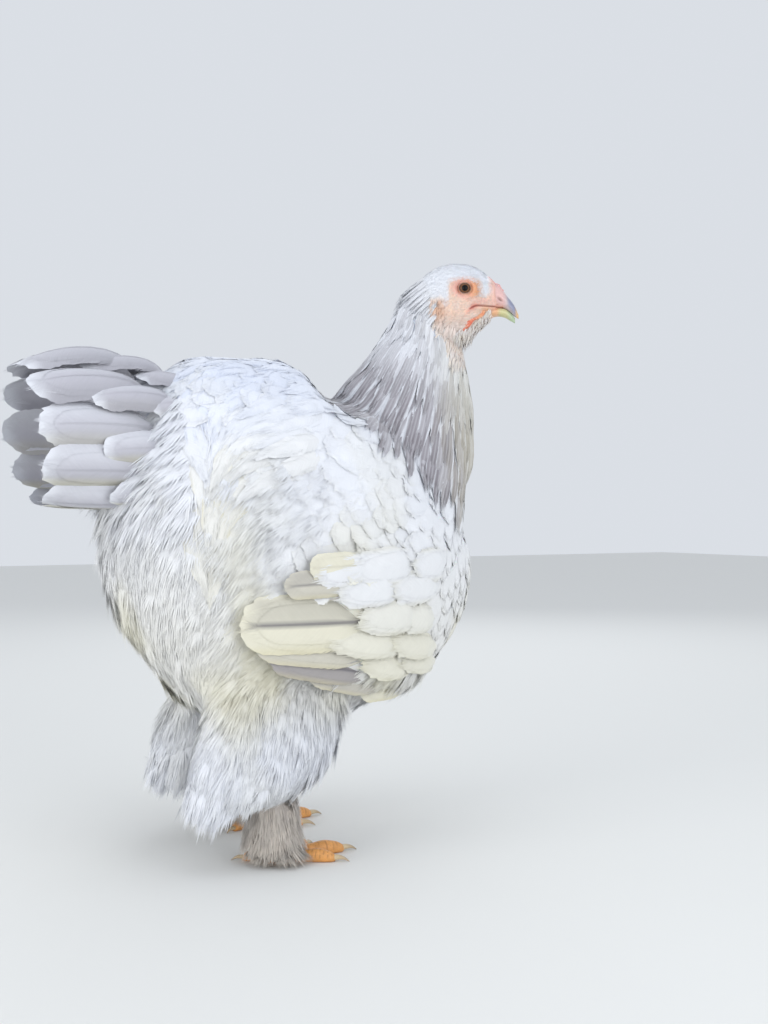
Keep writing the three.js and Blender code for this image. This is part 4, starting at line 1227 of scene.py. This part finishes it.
for name, spacing, low, high in (("hackle", 8.4, 0, 88), ("hackle_upper", 5.0, 84, 400)):
    def between(p):
        return on_neck(p) & (neck_height(p) > low) & (neck_height(p) < high)

    roots = form.scatter(between, spacing, 81)
    rng = np.random.default_rng(82)
    up_here = neck_height(roots)
    length = np.interp(up_here, [0, 50, 84, 120, 160], [62, 78, 62, 38, 28])
    length = length * (1 - 0.4 * smooth(165, 200, roots[:, 0]) * smooth(70, 30, up_here))
    length = length + np.interp(up_here, [0, 60], [8, 4]) * rng.normal(0, 1, len(roots))
    length = length * np.interp(roots[:, 0], [45, 100], [0.5, 1.0])
    half = np.interp(up_here, [0, 60, 84, 120, 160], [7.2, 6.2, 4.6, 3.0, 2.3])
    path, up = form.flow_paths(roots, hackle_way, length, 8, rng, 0.13)
    lift = np.interp(up_here, [0, 40, 90], [1.6, 0.8, 0.2]) * smooth(60, 105, roots[:, 0])
    lift = lift[:, None] * np.linspace(0, 1, 9)
    path = raised(path, up, [-3.0, 0.0, 0.9, 1.0, 0.2], lift)
    dress(name, LACE, path, up, half, hackle_tint, round_post(140, 0, 300, 530), FEATHER, "hackle_feathers",
          seed=83, ragged=0.02, fluffy=0.04, cup=0.3, rough=0.05)


# Feathers in rows on a wing or the tail

def laid(surface, routes, steps=10):
    """Lines over a surface: routes holds a0, a1, b0, b1, h0, h1, h2 for each feather."""
    t = np.linspace(0, 1, steps)[None]
    r = np.array(routes, float)[:, :, None]
    a = r[:, 0] + (r[:, 1] - r[:, 0]) * t
    b = r[:, 2] + (r[:, 3] - r[:, 2]) * t
    h = np.where(t < 0.25, mix(r[:, 4], r[:, 5], t / 0.25), mix(r[:, 5], r[:, 6], (t - 0.25) / 0.75))
    at = surface(a, b, h)
    return at, unit(surface(a, b, h + 1) - at)


def atlas(count, across):
    """A map with a cell of its own for each feather, in rows of across."""
    rows = math.ceil(count / across)
    def unwrap(p):
        k = np.arange(len(p))
        return np.stack([(k % across + 0.5) / across, (k // across + 0.5) / rows], -1)
    return unwrap, 0.8 / max(across, rows)


# Tail: tiers of broad feathers, each lying over the roots of the one before. first and last are angles round
# the tail, from and to are distances behind its root.

TAIL_TIERS = (
    {"count": 5, "first": 14, "last": 142, "from": 36, "to": 146, "half": 19.5, "rise": -1.0},
    {"count": 4, "first": 20, "last": 126, "from": 10, "to": 94, "half": 13.5, "rise": 4.5},
    {"count": 4, "first": 26, "last": 118, "from": -14, "to": 52, "half": 13.0, "rise": 7.5},
    {"count": 3, "first": 40, "last": 104, "from": -34, "to": 24, "half": 12.5, "rise": 9.0},
)
TAIL_SPREAD = 0.06
routes = []
wide = []
rng = np.random.default_rng(91)
for tier in TAIL_TIERS:
    for _, side in SIDES:
        for i in range(tier["count"]):
            t = i / (tier["count"] - 1)
            angle = side * mix(tier["first"], tier["last"], t) + rng.normal(0, 1.0)
            reach = tier["to"] - 20 * t * t + rng.normal(0, 3)
            rise = tier["rise"] + 1.6 * (i % 2) + 3 * max(math.cos(math.radians(angle)), 0) ** 2
            routes.append([tier["from"], reach, angle, angle * (1 + TAIL_SPREAD), -8, rise - 1, rise])
            wide.append(tier["half"] * (1 + rng.normal(0, 0.04)))
path, up = laid(tail_skin, routes)
share = np.linspace(0, 1, path.shape[1])[None]
topmost = smooth(400, 430, path[:, -1:, 2]) * smooth(60, 140, np.array(routes)[:, 1:2])
path[..., 2] += 11 * topmost * np.sin(math.pi * share**0.8) - 5 * share**3
path -= up * 7 * np.linspace(0, 1, path.shape[1])[None, :, None] ** 5


def tail_tint(s, w, place, chance):
    # Painted light and shade round each feather, so that it looks rounded: its upper edge lighter, its lower
    # edge and its base under the next tier darker, and its tip a white painted highlight.
    upper = -np.sign(place[..., 1]) * w
    c = mix_each(LAVENDER * 0.96, WHITE, 0.05 + 0.15 * chance + 0.4 * smooth(-0.1, 0.8, upper))
    c = c * (1 - 0.2 * smooth(0, -0.9, upper) - 0.2 * smooth(0.5, 0.0, s))[..., None]
    c = mix_each(c, WHITE, 0.8 * smooth(0.84, 0.98, s))
    # Cream along the lower edges low on the tail is painted shade in the gaps.
    warm = smooth(400, 340, place[..., 2]) * smooth(-0.2, -0.7, upper)
    return mix_each(c, CREAM * 0.9, 0.5 * warm)


unwrap, patch = atlas(len(routes), 8)
dress("tail_feathers", BROAD, path, up, np.array(wide), tail_tint, unwrap, FIRM, "tail_feathers",
      seed=92, ragged=0.01, fluffy=0.01, cup=0.55, patch=patch, soft=0.9, rough=0.03, replaced=("tail",))


# Down that fills the tail from below

roots = form.scatter(lambda p: (p[..., 0] < -104) & (p[..., 2] > 300), 5.2, 95)
rng = np.random.default_rng(96)
_, out = form.nearest(roots)
way = np.array((-1, 0, -0.3)) - (0.1, 0, 0.9) * smooth(345, 300, roots[:, 2])[:, None]
way = unit(way + 0.1 * out + rng.normal(0, 0.08, out.shape))
path = straight(roots - 4 * out, way, rng.uniform(26, 40, len(roots)))
share = np.linspace(0, 1, 7)
path[..., 2] -= 8 * share**2
path -= out[:, None] * (7 * share**2)[:, None]
dress("tail_down", PLUMY, path, for_steps(unit(out + (0, 0, 0.3))), 8.5, body_tint, round_body, DOWN,
      "body_feathers", seed=97, ragged=0.08, fluffy=0.05, cup=0.12, rough=0.05)


# Wings

def wing_tint(s, w, place, chance):
    # More ivory and cream lower down the wing: painted shade with a painted reflection of the grass below.
    c = mix(WHITE, IVORY, (0.2 + 0.5 * smooth(230, 150, place[..., 2]) + 0.2 * chance)[..., None] * 0.7)
    edge = np.maximum(smooth(0.7, 1.0, np.abs(w)), smooth(0.86, 1.0, s))
    c = mix_each(c * 0.97, CREAM, 0.5 * smooth(250, 190, place[..., 2]))
    return mix_each(c, CREAM, 0.3 * edge * (0.4 + 0.6 * chance))


# Flight feathers of the folded wing from the highest down: root and tip along X, the heights of both, half
# width, dark streak and grey
FLIGHT = (
    (34, -24, 257, 255, 12, 0.1, 0.0),
    (32, -46, 244, 240, 12, 0.7, 0.35),
    (40, -80, 208, 208, 25, 1.0, 0.0),
    (44, -66, 178, 192, 15, 0.3, 0.3),
    (48, -52, 160, 180, 14, 0.8, 0.8),
    (64, -14, 146, 164, 11, 0.4, 0.45),
    (96, 42, 142, 141, 8, 0.0, 0.0),
)
# Larger coverts: root and tip along X, height and half width
COVERTS = (
    (40, -17, 258, 14),
    (86, 12, 257, 17),
    (70, 3, 233, 14),
    (92, 24, 212, 16),
    (78, -2, 190, 13),
    (94, 32, 168, 13),
    (114, 56, 240, 15),
    (110, 64, 207, 13),
    (120, 60, 184, 13),
    (126, 74, 162, 11),
    (124, 78, 262, 15),
)


def flight_tint(s, w, place, chance):
    dark, dull = np.array(FLIGHT)[:, 5:].T[..., None]
    c = mix(mix(IVORY, CREAM, 0.45) * 0.98, GREY, dull[..., None] + 0 * s[..., None])
    upper = smooth(0.15, -0.25, w) * smooth(-1.0, -0.75, w)
    streak = np.maximum(smooth(0.16, 0.02, np.abs(w)), 0.4 * upper) * smooth(0.99, 0.85, s)
    c = mix_each(c, DARK, streak * dark * 0.75)
    # Straw along each feather's lower edge is painted shade with a painted reflection of the grass below.
    edge = smooth(0.6, 1.0, w)
    return mix_each(c, STRAW, 0.35 * edge)


for number, (word, side) in enumerate(SIDES):
    rng = np.random.default_rng(101 + number)

    def on_wing(x, z, h):
        return wing_skin(side, x, z, h)

    firm = []
    wide = []
    for i, (root, tip, z0, z1, half, _, _) in enumerate(FLIGHT):
        rise = 2.6 - 1.1 * i
        firm.append([root, tip, z0, z1, -4, rise, rise])
        wide.append(half)
    path, up = laid(on_wing, firm, 12)
    unwrap, patch = atlas(len(firm), 4)

    def tint(s, w, place, chance):
        return flight_tint(s, w * side, place, chance)

    dress(f"flight_feathers_{word}", BROAD, path, up, np.array(wide), tint, unwrap, FIRM, "wing_feathers",
          seed=103 + number, ragged=0.01, fluffy=0.01, cup=0.16, patch=patch, soft=1.0, rough=0.03,
          replaced=(f"wing_{word}",))
    soft = []
    wide = []
    for root, tip, z, half in COVERTS:
        start, end = z + rng.normal(0, 2.5, 2)
        soft.append([root, tip, start, end - 0.1 * (end - 200), -3, 3.0, 1.4 + rng.uniform(0, 1)])
        wide.append(half)
    path, up = laid(on_wing, soft, 8)
    unwrap, patch = atlas(len(soft), 4)
    dress(f"coverts_{word}", COVERT, path, up, np.array(wide), wing_tint, unwrap, FEATHER, "wing_feathers",
          seed=105 + number, ragged=0.04, fluffy=0.03, cup=0.14, patch=patch, soft=0.9, rough=0.04)


# Head feathers

head_form = Form(from_head(head_points), head_faces)


def head_way(p):
    q = to_head(p)
    x, y = q[..., 0], q[..., 1]
    way = vec(-1, y * 0.01, -0.5 - 0.3 * smooth(0, -20, x))
    return unit(from_head(way) - from_head(np.zeros(3)))


def on_crown(p):
    x, z = head_xz(p)
    crown = (z > 3) | ((x < -13) & (z > -17)) | ((x > 14) & (z > -10)) | (x < -30)
    return crown & (x < 25) & (eye_ring(x, z, 15.5, 11) > 1)


def on_cheek(p):
    x, z = head_xz(p)
    near_mouth = (x > 2) & (np.abs(z - mouth_line(x)) < 2.2)
    return (z < 4) & (x < 29) & (eye_ring(x, z, 12, 9) > 1) & ~near_mouth


def crown_tint(s, w, place, chance):
    c = over_head(to_head(place))
    return mix_each(c, WHITE, 0.25 + 0.45 * chance) * (0.94 + 0.06 * chance[..., None])


def cheek_tint(s, w, place, chance):
    c = over_head(to_head(place))
    return mix_each(c * 0.97, IVORY, 0.05 + 0.3 * chance)


def throat_tint(s, w, place, chance):
    c = mix_each(WHITE, IVORY, 0.3 + 0.7 * chance) * 1.04
    return mix_each(c, PEACH, 0.1 + 0.3 * smooth(0.7, 0.0, s))


WISP = down(5, 0.8, 0.14)
FINE = down(5, 0.9, 0.2)
around_head = round_post(HEAD_AT[0], HEAD_AT[1], HEAD_AT[2] - 55, HEAD_AT[2] + 25)
roots = head_form.scatter(on_crown, 1.7, 111)
rng = np.random.default_rng(112)
behind = smooth(0, -36, to_head(roots)[:, 0])
path, up = head_form.flow_paths(roots, head_way, 6.5 + 6 * behind, 4, rng, 0.12)
path = raised(path, up, [-0.5, 0.3, 0.6])
dress("crown_coat", FINE, path, up, 1.7 + 0.8 * behind, crown_tint, around_head, DOWN, "hackle_feathers",
      seed=113, ragged=0.04, fluffy=0.1, cup=0.1, blend=True)
roots = head_form.scatter(on_cheek, 1.5, 121)
rng = np.random.default_rng(122)
low = smooth(-24, -46, to_head(roots)[:, 2])
length = rng.uniform(3.0, 4.8, len(roots)) * (1 + 2.0 * low)
path, up = head_form.flow_paths(roots, head_way, length, 4, rng, 0.25)
path = raised(path, up, [-0.2, 0.2, 0.5], low[:, None] * np.linspace(0, 1.6, 5))
dress("cheek_coat", FINE, path, up, 0.8 + 0.9 * low, cheek_tint, around_head, DOWN, "face_skin",
      seed=123, ragged=0.05, fluffy=0.2, cup=0.0, blend=True)


# Short feathers behind the cheek lie over the ear and the top of the neck
def on_ear(p):
    x, z = head_xz(p)
    return ((np.abs(x + 28) < 7) & (z < -8)) | ((np.abs(x + 22) < 13) & (z < -38))


roots = head_form.scatter(on_ear, 1.8, 141)
rng = np.random.default_rng(142)
q = to_head(roots)
way = unit(vec(-0.3, 0.012 * q[:, 1], -1) + rng.normal(0, 0.07, q.shape))
length = rng.uniform(7, 11, len(q)) + 7 * smooth(-26, -40, q[:, 2])
up = for_steps(head_form.nearest(roots)[1])
path = from_head(straight(q, way, length)) + up * (0.2 - 0.7 * np.linspace(0, 1, 7)[:, None])
dress("ear_coat", WISP, path, up, 2.0, cheek_tint, around_head, DOWN, "face_skin",
      seed=143, ragged=0.05, fluffy=0.1, cup=0.08, rough=0.06, blend=True)

# Pale wisps hang from the jaw and the throat
for name, surface, seed in (("throat_coat", head_form, 128), ("throat_coat_low", form, 228)):
    def on_throat(p):
        x, z = head_xz(p)
        low = z < head_bottom(np.clip(x, -36, 26)) + 10 if surface is head_form else z < -30
        return low & (z > -78) & (face_edge(x, z) < 5) & (x < 27)

    roots = surface.scatter(on_throat, 1.6, seed)
    rng = np.random.default_rng(seed + 1)
    q = to_head(roots)
    way = vec(-0.15 - 0.4 * smooth(-56, -36, q[:, 2]), 0.02 * q[:, 1], -1)
    way = unit(way + rng.normal(0, 0.09, way.shape))
    length = rng.uniform(5, 8, len(q)) + 8 * smooth(-36, -54, q[:, 2])
    up = for_steps(surface.nearest(roots)[1])
    open_by = 0.8 if surface is head_form else -1.0
    path = from_head(straight(q, way, length)) + up * (0.4 + open_by * np.linspace(0, 1, 7)[:, None])
    dress(name, WISP, path, up, 1.5, throat_tint, around_head, DOWN, "face_skin",
          seed=seed + 2, ragged=0.05, fluffy=0.1, cup=0.2, rough=0.06)


# Feathers of the nape leave the back of the head in straight lines and lie over the top of the hackle
def on_nape(p):
    x, z = head_xz(p)
    return (x < -23) & (z > -24)


roots = head_form.scatter(on_nape, 2.0, 125)
rng = np.random.default_rng(126)
q = to_head(roots)
way = vec(-1, 0.012 * q[:, 1], -0.75 + 0.014 * (q[:, 2] - 10))
way = unit(way + rng.normal(0, 0.05, way.shape))
t = np.linspace(0, 1, 7)
line = straight(q, way, 22 + 10 * smooth(-14, -40, q[:, 0]) + rng.normal(0, 2, len(q)))
line[..., 1] *= 1 - 0.3 * t
line[..., 2] -= 5 * t**2
path = from_head(line)
up = for_steps(vec(-0.35, q[:, 1] * 0.05, 0.8))
up = unit(from_head(up) - HEAD_AT)
path = path + up * np.linspace(-1.5, 0.4, 7)[:, None]


def nape_tint(s, w, place, chance):
    return mix(hackle_tint(s, w, place, chance), WHITE * 0.98, 0.55)


dress("nape_coat", LACE, path, up, 2.1, nape_tint, around_head, FEATHER, "hackle_feathers",
      seed=127, ragged=0.03, fluffy=0.06, cup=0.3, rough=0.05)


# Eyes

for word, side in SIDES:
    polar, turn = ball_angles(40, 64, 0.002)
    outward = EYE_RADIUS * np.cos(polar) + 0.5 * smooth(0.7, 0.0, polar)
    round_x = EYE_RADIUS * np.sin(polar) * np.cos(turn)
    round_z = EYE_RADIUS * np.sin(polar) * np.sin(turn)
    p = vec(round_x, side * (EYE_OUT + outward), EYE_Z + round_z)
    r = EYE_RADIUS * np.sin(polar) + 10 * (polar > math.pi / 2)
    amber = mix_each(IRIS_DARK, IRIS_LIGHT, 0.5 + 0.5 * np.sin(turn * 17 + r * 2))
    c = mix_each(amber, IRIS_RIM, smooth(4.3, 5.2, r))
    c = mix_each(c, PUPIL, smooth(3.3, 2.8, r))
    eye = tube_mesh(f"eyeball_{word}", from_head(p), c)
    settle(eye, EYE, "eye_surface", f"eye_{word}")


# Beak

BEAK_BASE = 29.5
CULMEN_X = [31, 36, 44, 50, 54]
culmen = curve(CULMEN_X, [4, 0.4, -9.5, -17.5, -26.5])
gape = curve(CULMEN_X, [-19.4, -19.4, -23, -28, -30.5])
beak_half = curve(CULMEN_X, [9.2, 8.2, 6.0, 3.9, 1.2])


def beak_rings(xs, top, bottom, half, ridge):
    a = np.arange(48) * 2 * math.pi / 48
    x, a = np.meshgrid(xs, a, indexing="ij")
    u = np.sin(a)
    c = np.cos(a)
    high, low = top(x), bottom(x)
    y = half(x) * power(c, 0.9) * (1 - ridge * np.maximum(u, 0) ** 2)
    z = (high + low) / 2 + (high - low) / 2 * u
    return vec(x, y, z)


rings = beak_rings(np.linspace(BEAK_BASE, 54, 60), culmen, gape, beak_half, 0.25)
x, y, z = rings[..., 0], rings[..., 1], rings[..., 2]
nostril = np.exp(-((x - 35) / 2.4) ** 2 - ((z + 12.6 + (x - 35) * 0.5) / 1.1) ** 2)
flap = np.exp(-((x - 34.5) / 3.4) ** 2 - ((z + 10.0 + (x - 34.5) * 0.5) / 1.6) ** 2)
rings[..., 1] += np.sign(y) * (np.abs(y) > 1) * (0.9 * flap - 2.2 * nostril)
c = mix_each(BEAK_PINK, BEAK_GREY, smooth(37, 44, x))
ridge = smooth(41, 45, x) * smooth(54, 50, x) * smooth(-9, -2, z - culmen(x) + 4)
c = mix_each(c, BEAK_BLUE, 0.8 * ridge)
c = mix_each(c, BEAK_TIP, smooth(49, 53, x))
c = mix_each(c, NOSTRIL_RED, 0.8 * nostril)
upper = tube_mesh("upper_beak", from_head(rings), c)
LOWER_X = [28, 34, 40, 46, 50.5]
lower_top = curve(LOWER_X, [-20.2, -20.0, -20.6, -24.6, -29.8])
lower_deep = curve(LOWER_X, [-29.0, -28.0, -29.0, -32.4, -34.8])
lower_half = curve(LOWER_X, [8.2, 7.2, 5.6, 3.8, 1.2])
rings = beak_rings(np.linspace(27, 50.5, 50), lower_top, lower_deep, lower_half, 0.0)
x, z = rings[..., 0], rings[..., 2]
c = mix_each(CHIN_ORANGE, CHIN_YELLOW, smooth(31, 37, x))
c = mix_each(c, CHIN_GREEN, smooth(40, 48, x))
lower = tube_mesh("lower_beak", from_head(rings), c)
settle(upper, HORN, "beak_horn", "beak_upper")
settle(lower, HORN, "beak_horn", "beak_lower")


# Comb and wattles

def head_side(x, z):
    """How far out the side of the head is."""
    level = mix(head_bottom(x), head_top(x), HEAD_LEVEL)
    u = (level - z) / (level - head_bottom(x))
    return float(head_half(x) * max(1 - abs(u) ** BULGE, 0) ** (1 / BULGE))


def ball(at, radii, rows=14, columns=20):
    polar, turn = ball_angles(rows, columns, 0.05)
    p = vec(np.sin(polar) * np.cos(turn), np.sin(polar) * np.sin(turn), np.cos(polar))
    return from_head(np.array(at, float) + p * np.array(radii, float))


def fleshy(name, shapes, node, tint):
    points, faces = fused(name + "_form", shapes, 0.45, 4)
    made = make_mesh(name, points, clean_faces([faces]), tint=tint(to_head(points)))
    settle(made, COMB, "comb_skin", node)


def comb_tint(q):
    c = mix_each(COMB_PINK, RED, 0.05 + 0.08 * wobble(q, 2.5))
    return mix_each(c, WHITE, 0.15 * smooth(0.3, 1, wobble(q, 1.6, 2)))


def wattle_tint(q):
    c = mix_each(RED, ORANGE, 0.35 + 0.5 * smooth(6, 18, q[..., 0]) + 0.25 * wobble(q, 2.0))
    return mix_each(c, PEACH, 0.5 * smooth(0.2, 0.9, wobble(q, 1.5, 3.0)))


shapes = [ball((30, 0, 1), (7, 4, 4))]
for offset_y, rise, size, count in ((0, -0.8, 1.8, 8), (3, -1.4, 1.6, 7), (-3, -1.4, 1.6, 7)):
    for i in range(count):
        x = mix(25, 38, i / (count - 1))
        z = rise + float(head_top(x) if x < 31 else culmen(x))
        shapes.append(ball((x, offset_y, z), (size * 0.9, size * 0.8, size * (1.1 - 0.05 * i)), 10, 12))
fleshy("comb_flesh", shapes, "comb", comb_tint)
for word, side in SIDES:
    shapes = []
    for t in np.linspace(0, 1, 12):
        x = mix(18, -1, t) + 0.7 * math.sin(9 * t)
        z = mix(-25.5, -42, t) - 0.9 * math.sin(7 * t)
        out = head_side(x, z) + 0.1
        swell = 0.9 + 0.2 * math.sin(11 * t)
        radii = (2.8 * swell, 0.9 + 0.6 * t, (1.9 + 1.0 * t) * swell)
        shapes.append(ball((x, side * out, z), radii, 10, 14))
    fleshy(f"wattle_flesh_{word}", shapes, f"wattle_{word}", wattle_tint)


# Shanks and feet

TOES = (
    {"name": "outer", "turn": -34, "length": 54, "thick": 6.2, "claw": 12},
    {"name": "middle", "turn": -4, "length": 66, "thick": 6.6, "claw": 13},
    {"name": "inner", "turn": 30, "length": 50, "thick": 6.2, "claw": 12},
    {"name": "hind", "turn": 152, "length": 27, "thick": 5, "claw": 10},
)
HOCK_RISE = 72
SHANK_BEHIND = 38
toe_swell = curve([0, 0.36, 0.5, 0.7, 0.9, 1], [1, 1.1, 0.9, 1.02, 0.82, 0.5])


def flat_tube(points, radii, around=24, sunk=0.75):
    """A tube with a flat underside through points (n, 3), as rings."""
    ahead = np.gradient(points, axis=0)
    ahead[:, 2] = 0
    ahead = unit(ahead)
    side = vec(-ahead[:, 1], ahead[:, 0], 0)
    a = (np.arange(around) + 0.5) * 2 * math.pi / around
    ring = points[:, None] + side[:, None] * (radii[:, None] * np.cos(a))[..., None]
    ring[..., 2] = points[:, None, 2] + radii[:, None] * np.maximum(np.sin(a) + sunk, 0)
    return ring


def shank_point(word, side, z):
    stance = STANCE[word]
    t = np.asarray(z, float) / HOCK_RISE
    x = mix(stance["foot"], stance["hock"] - SHANK_BEHIND, t)
    y = side * mix(stance["foot_out"], stance["hock_out"], t)
    return vec(x, y, np.asarray(z, float))


def leg_tint(s, w, place, chance):
    c = mix_each(mix(IVORY, PEACH, 0.3), LAVENDER, 0.1 + 0.3 * chance)
    c = mix_each(c, UMBER, 0.25 + 0.35 * smooth(50, 8, place[..., 2]) + 0.3 * chance)
    edge = smooth(0.7, 1.0, np.maximum(np.abs(w), s))
    return mix_each(c, IVORY, 0.4 * edge)


for number, (word, side) in enumerate(SIDES):
    stance = STANCE[word]
    middle = np.array((stance["foot"], side * stance["foot_out"], 0.0))
    shapes = []
    toe_lines = []
    for toe in TOES:
        a = math.radians(toe["turn"])
        ahead = np.array((math.cos(a), side * -math.sin(a), 0.0))
        share = np.linspace(0.06, 1, 40)
        line = middle + ahead * (share * toe["length"])[:, None]
        radii = toe["thick"] * toe_swell(share)
        rings = flat_tube(line, radii)
        scute = np.abs(np.sin(share * toe["length"] / 3.4 * math.pi))
        rings[..., 2] += (0.5 * scute[:, None]) * smooth(2, 7, rings[..., 2])
        shapes.append(rings)
        toe_lines.append(ahead)
        tip = middle + ahead * (toe["length"] - 1.5)
        long = toe["claw"] + 1.5
        t = np.linspace(0, 1, 16)
        bend = tip + ahead * (t * long)[:, None]
        bend[:, 2] = 1.2 + 2.4 * np.sin(math.pi * t * 0.8) - 2.6 * t
        bend[:, 2] = np.maximum(bend[:, 2], 0.2)
        claw = flat_tube(bend, toe["thick"] * 0.42 * (1 - t) ** 0.7 + 0.25, 16)
        shade = mix(CLAW_ROOT, CLAW_TIP, t[:, None])
        nail = tube_mesh(f"nail_{toe['name']}_{word}", claw, np.repeat(shade[:, None], 16, axis=1))
        settle(nail, HORN, "claw_horn", f"claw_{toe['name']}_{word}")
    pad_x = np.linspace(-11, 11, 14)
    pad_line = middle + vec(pad_x, 0, 0)
    shapes.append(flat_tube(pad_line, 4 + 7.5 * np.sqrt(np.maximum(1 - (pad_x / 11.5) ** 2, 0)), sunk=0.5))
    z = np.linspace(3, HOCK_RISE - 2, 20)
    a = np.arange(24) * 2 * math.pi / 24
    post = shank_point(word, side, z)[:, None] + np.zeros((20, 24, 3))
    thick = np.interp(z, [0, 17, 30, 46, 60, 70], [9, 9, 8, 8.5, 10, 11])[:, None]
    post[..., 0] += thick * np.cos(a)
    post[..., 1] += thick * np.sin(a)
    shapes.append(post)
    points, faces = fused(f"foot_form_{word}", shapes, 1.3, 3)
    points[:, 2] = np.maximum(points[:, 2], 0.0)
    d = points - middle
    ahead_each = np.stack([d @ v for v in toe_lines], -1)
    reach = ahead_each.max(-1)
    crease = smooth(0.35, 0.05, np.abs(np.sin(reach / 3.4 * math.pi))) * smooth(3, 6, points[:, 2])
    tint = mix(TOE_YELLOW, TOE_CREASE_AND_SHADE, (0.7 * crease * (points[:, 2] < 20))[:, None])
    # Darker along the soles where they meet the floor: painted shade.
    tint = mix(tint, TOE_CREASE_AND_SHADE, (0.5 * smooth(1.5, 0, points[:, 2]))[:, None])
    foot = make_mesh(f"leg_skin_{word}", points, clean_faces([faces]), tint=tint)
    settle(foot, SCALE, "toe_skin", f"foot_{word}", f"shank_{word}")

    # Feathers down the shank
    rng = np.random.default_rng(131 + number)
    count = 190
    turn = rng.uniform(-75, 255, count)
    high = rng.uniform(20, 70, count)
    a = np.radians(turn)
    out = vec(np.cos(a), side * np.sin(a), 0)
    long = rng.uniform(20, 32, count) * np.interp(high, [20, 40, 70], [0.65, 1.0, 1.1])
    t = np.linspace(0, 1, 7)
    fall = np.maximum(high[:, None] - long[:, None] * t, 4 + rng.uniform(0, 5, (count, 1)))
    axis = shank_point(word, side, fall)
    puff = 9 + (17 + 5 * smooth(60, 25, high))[:, None] * np.sin(math.pi * 0.5 * t) ** 0.8
    path = axis + out[:, None] * puff[..., None]
    up = np.repeat(out[:, None], 7, 1) + np.array((0, 0, 0.35))
    dress(f"shank_coat_{word}", PLUMY, path, unit(up), 6.0, leg_tint,
          round_post(middle[0], middle[1], 0, 80), DOWN, "leg_feathers",
          seed=133 + number, ragged=0.06, fluffy=0.12, cup=0.2)

    # Feathers that fan out over the foot and the outer toes
    count = 80
    turn = rng.uniform(2, 185, count)
    a = np.radians(turn)
    out = vec(np.cos(a), side * np.sin(a), 0)
    far = rng.uniform(24, 40, count) * np.interp(turn, [0, 80, 185], [0.95, 1.1, 0.8])
    near = rng.uniform(3, 12, count)
    rise = rng.uniform(9, 16, count)
    along_foot = near[:, None] + (far - near)[:, None] * t
    z = rise[:, None] * (1 - t**1.6) + 3.0
    path = middle + out[:, None] * along_foot[..., None]
    path[..., 2] = z
    up = np.zeros_like(path) + np.array((0, 0, 1.0)) + out[:, None] * 0.3
    dress(f"foot_coat_{word}", PLUMY, path, unit(up), 6.5, leg_tint,
          round_post(middle[0], middle[1], 0, 40), FEATHER, "leg_feathers",
          seed=135 + number, ragged=0.05, fluffy=0.06, cup=0.12)


# Floor, light and camera

FLOOR_REACH = 6000
corners = [(-1, -1, 0), (1, -1, 0), (1, 1, 0), (-1, 1, 0)]
floor = make_mesh("floor", FLOOR_REACH * np.array(corners, float) - SHIFT, [[0, 1, 2, 3]])
ground = Nodes("floor")
floor.data.materials.append(ground.finish(Base_Color=(0.78, 0.78, 0.76, 1), Roughness=0.9))

world = bpy.data.worlds.new("studio")
bpy.context.scene.world = world
world.use_nodes = True
world.node_tree.nodes["Background"].inputs[0].default_value = (0.86, 0.90, 0.96, 1)
world.node_tree.nodes["Background"].inputs[1].default_value = 0.82


def lamp(name, at, towards, size, watts, colour):
    data = bpy.data.lights.new(name, "AREA")
    data.size = size
    data.energy = watts
    data.color = colour
    made = bpy.data.objects.new(name, data)
    bpy.context.scene.collection.objects.link(made)
    made.location = at
    way = np.array(at) - np.array(towards)
    made.rotation_euler = (
        math.acos(way[2] / np.linalg.norm(way)),
        0,
        math.atan2(way[1], way[0]) + math.pi / 2,
    )


lamp("above", (-0.3, -0.5, 2.2), (0, 0, 0.3), 1.8, 5, (0.84, 0.91, 1.0))
lamp("key", (0.4, -1.9, 0.75), (0, 0, 0.27), 1.4, 13, (0.97, 0.98, 1.0))
lamp("fill", (-2.0, -0.45, 0.5), (0, 0, 0.2), 1.4, 20, (1.0, 0.99, 0.97))
lamp("behind", (1.2, 1.6, 1.5), (0, 0, 0.35), 1.4, 8, (0.95, 0.98, 1.0))

FRAME_HEIGHT = 1024
FOCAL_PIXELS = 1242
SENSOR = 36
CAMERA_TURN = -30
CAMERA_AT = (-0.4875956 + SHIFT[0] * MM, -1.0463922, 0.302)
camera_data = bpy.data.cameras.new("camera")
camera_data.sensor_width = SENSOR
camera_data.lens = FOCAL_PIXELS / FRAME_HEIGHT * SENSOR
camera = bpy.data.objects.new("camera", camera_data)
bpy.context.scene.collection.objects.link(camera)
camera.location = CAMERA_AT
camera.rotation_euler = (math.radians(90), 0, math.radians(CAMERA_TURN))
bpy.context.scene.camera = camera
bpy.context.scene.view_settings.view_transform = "Standard"
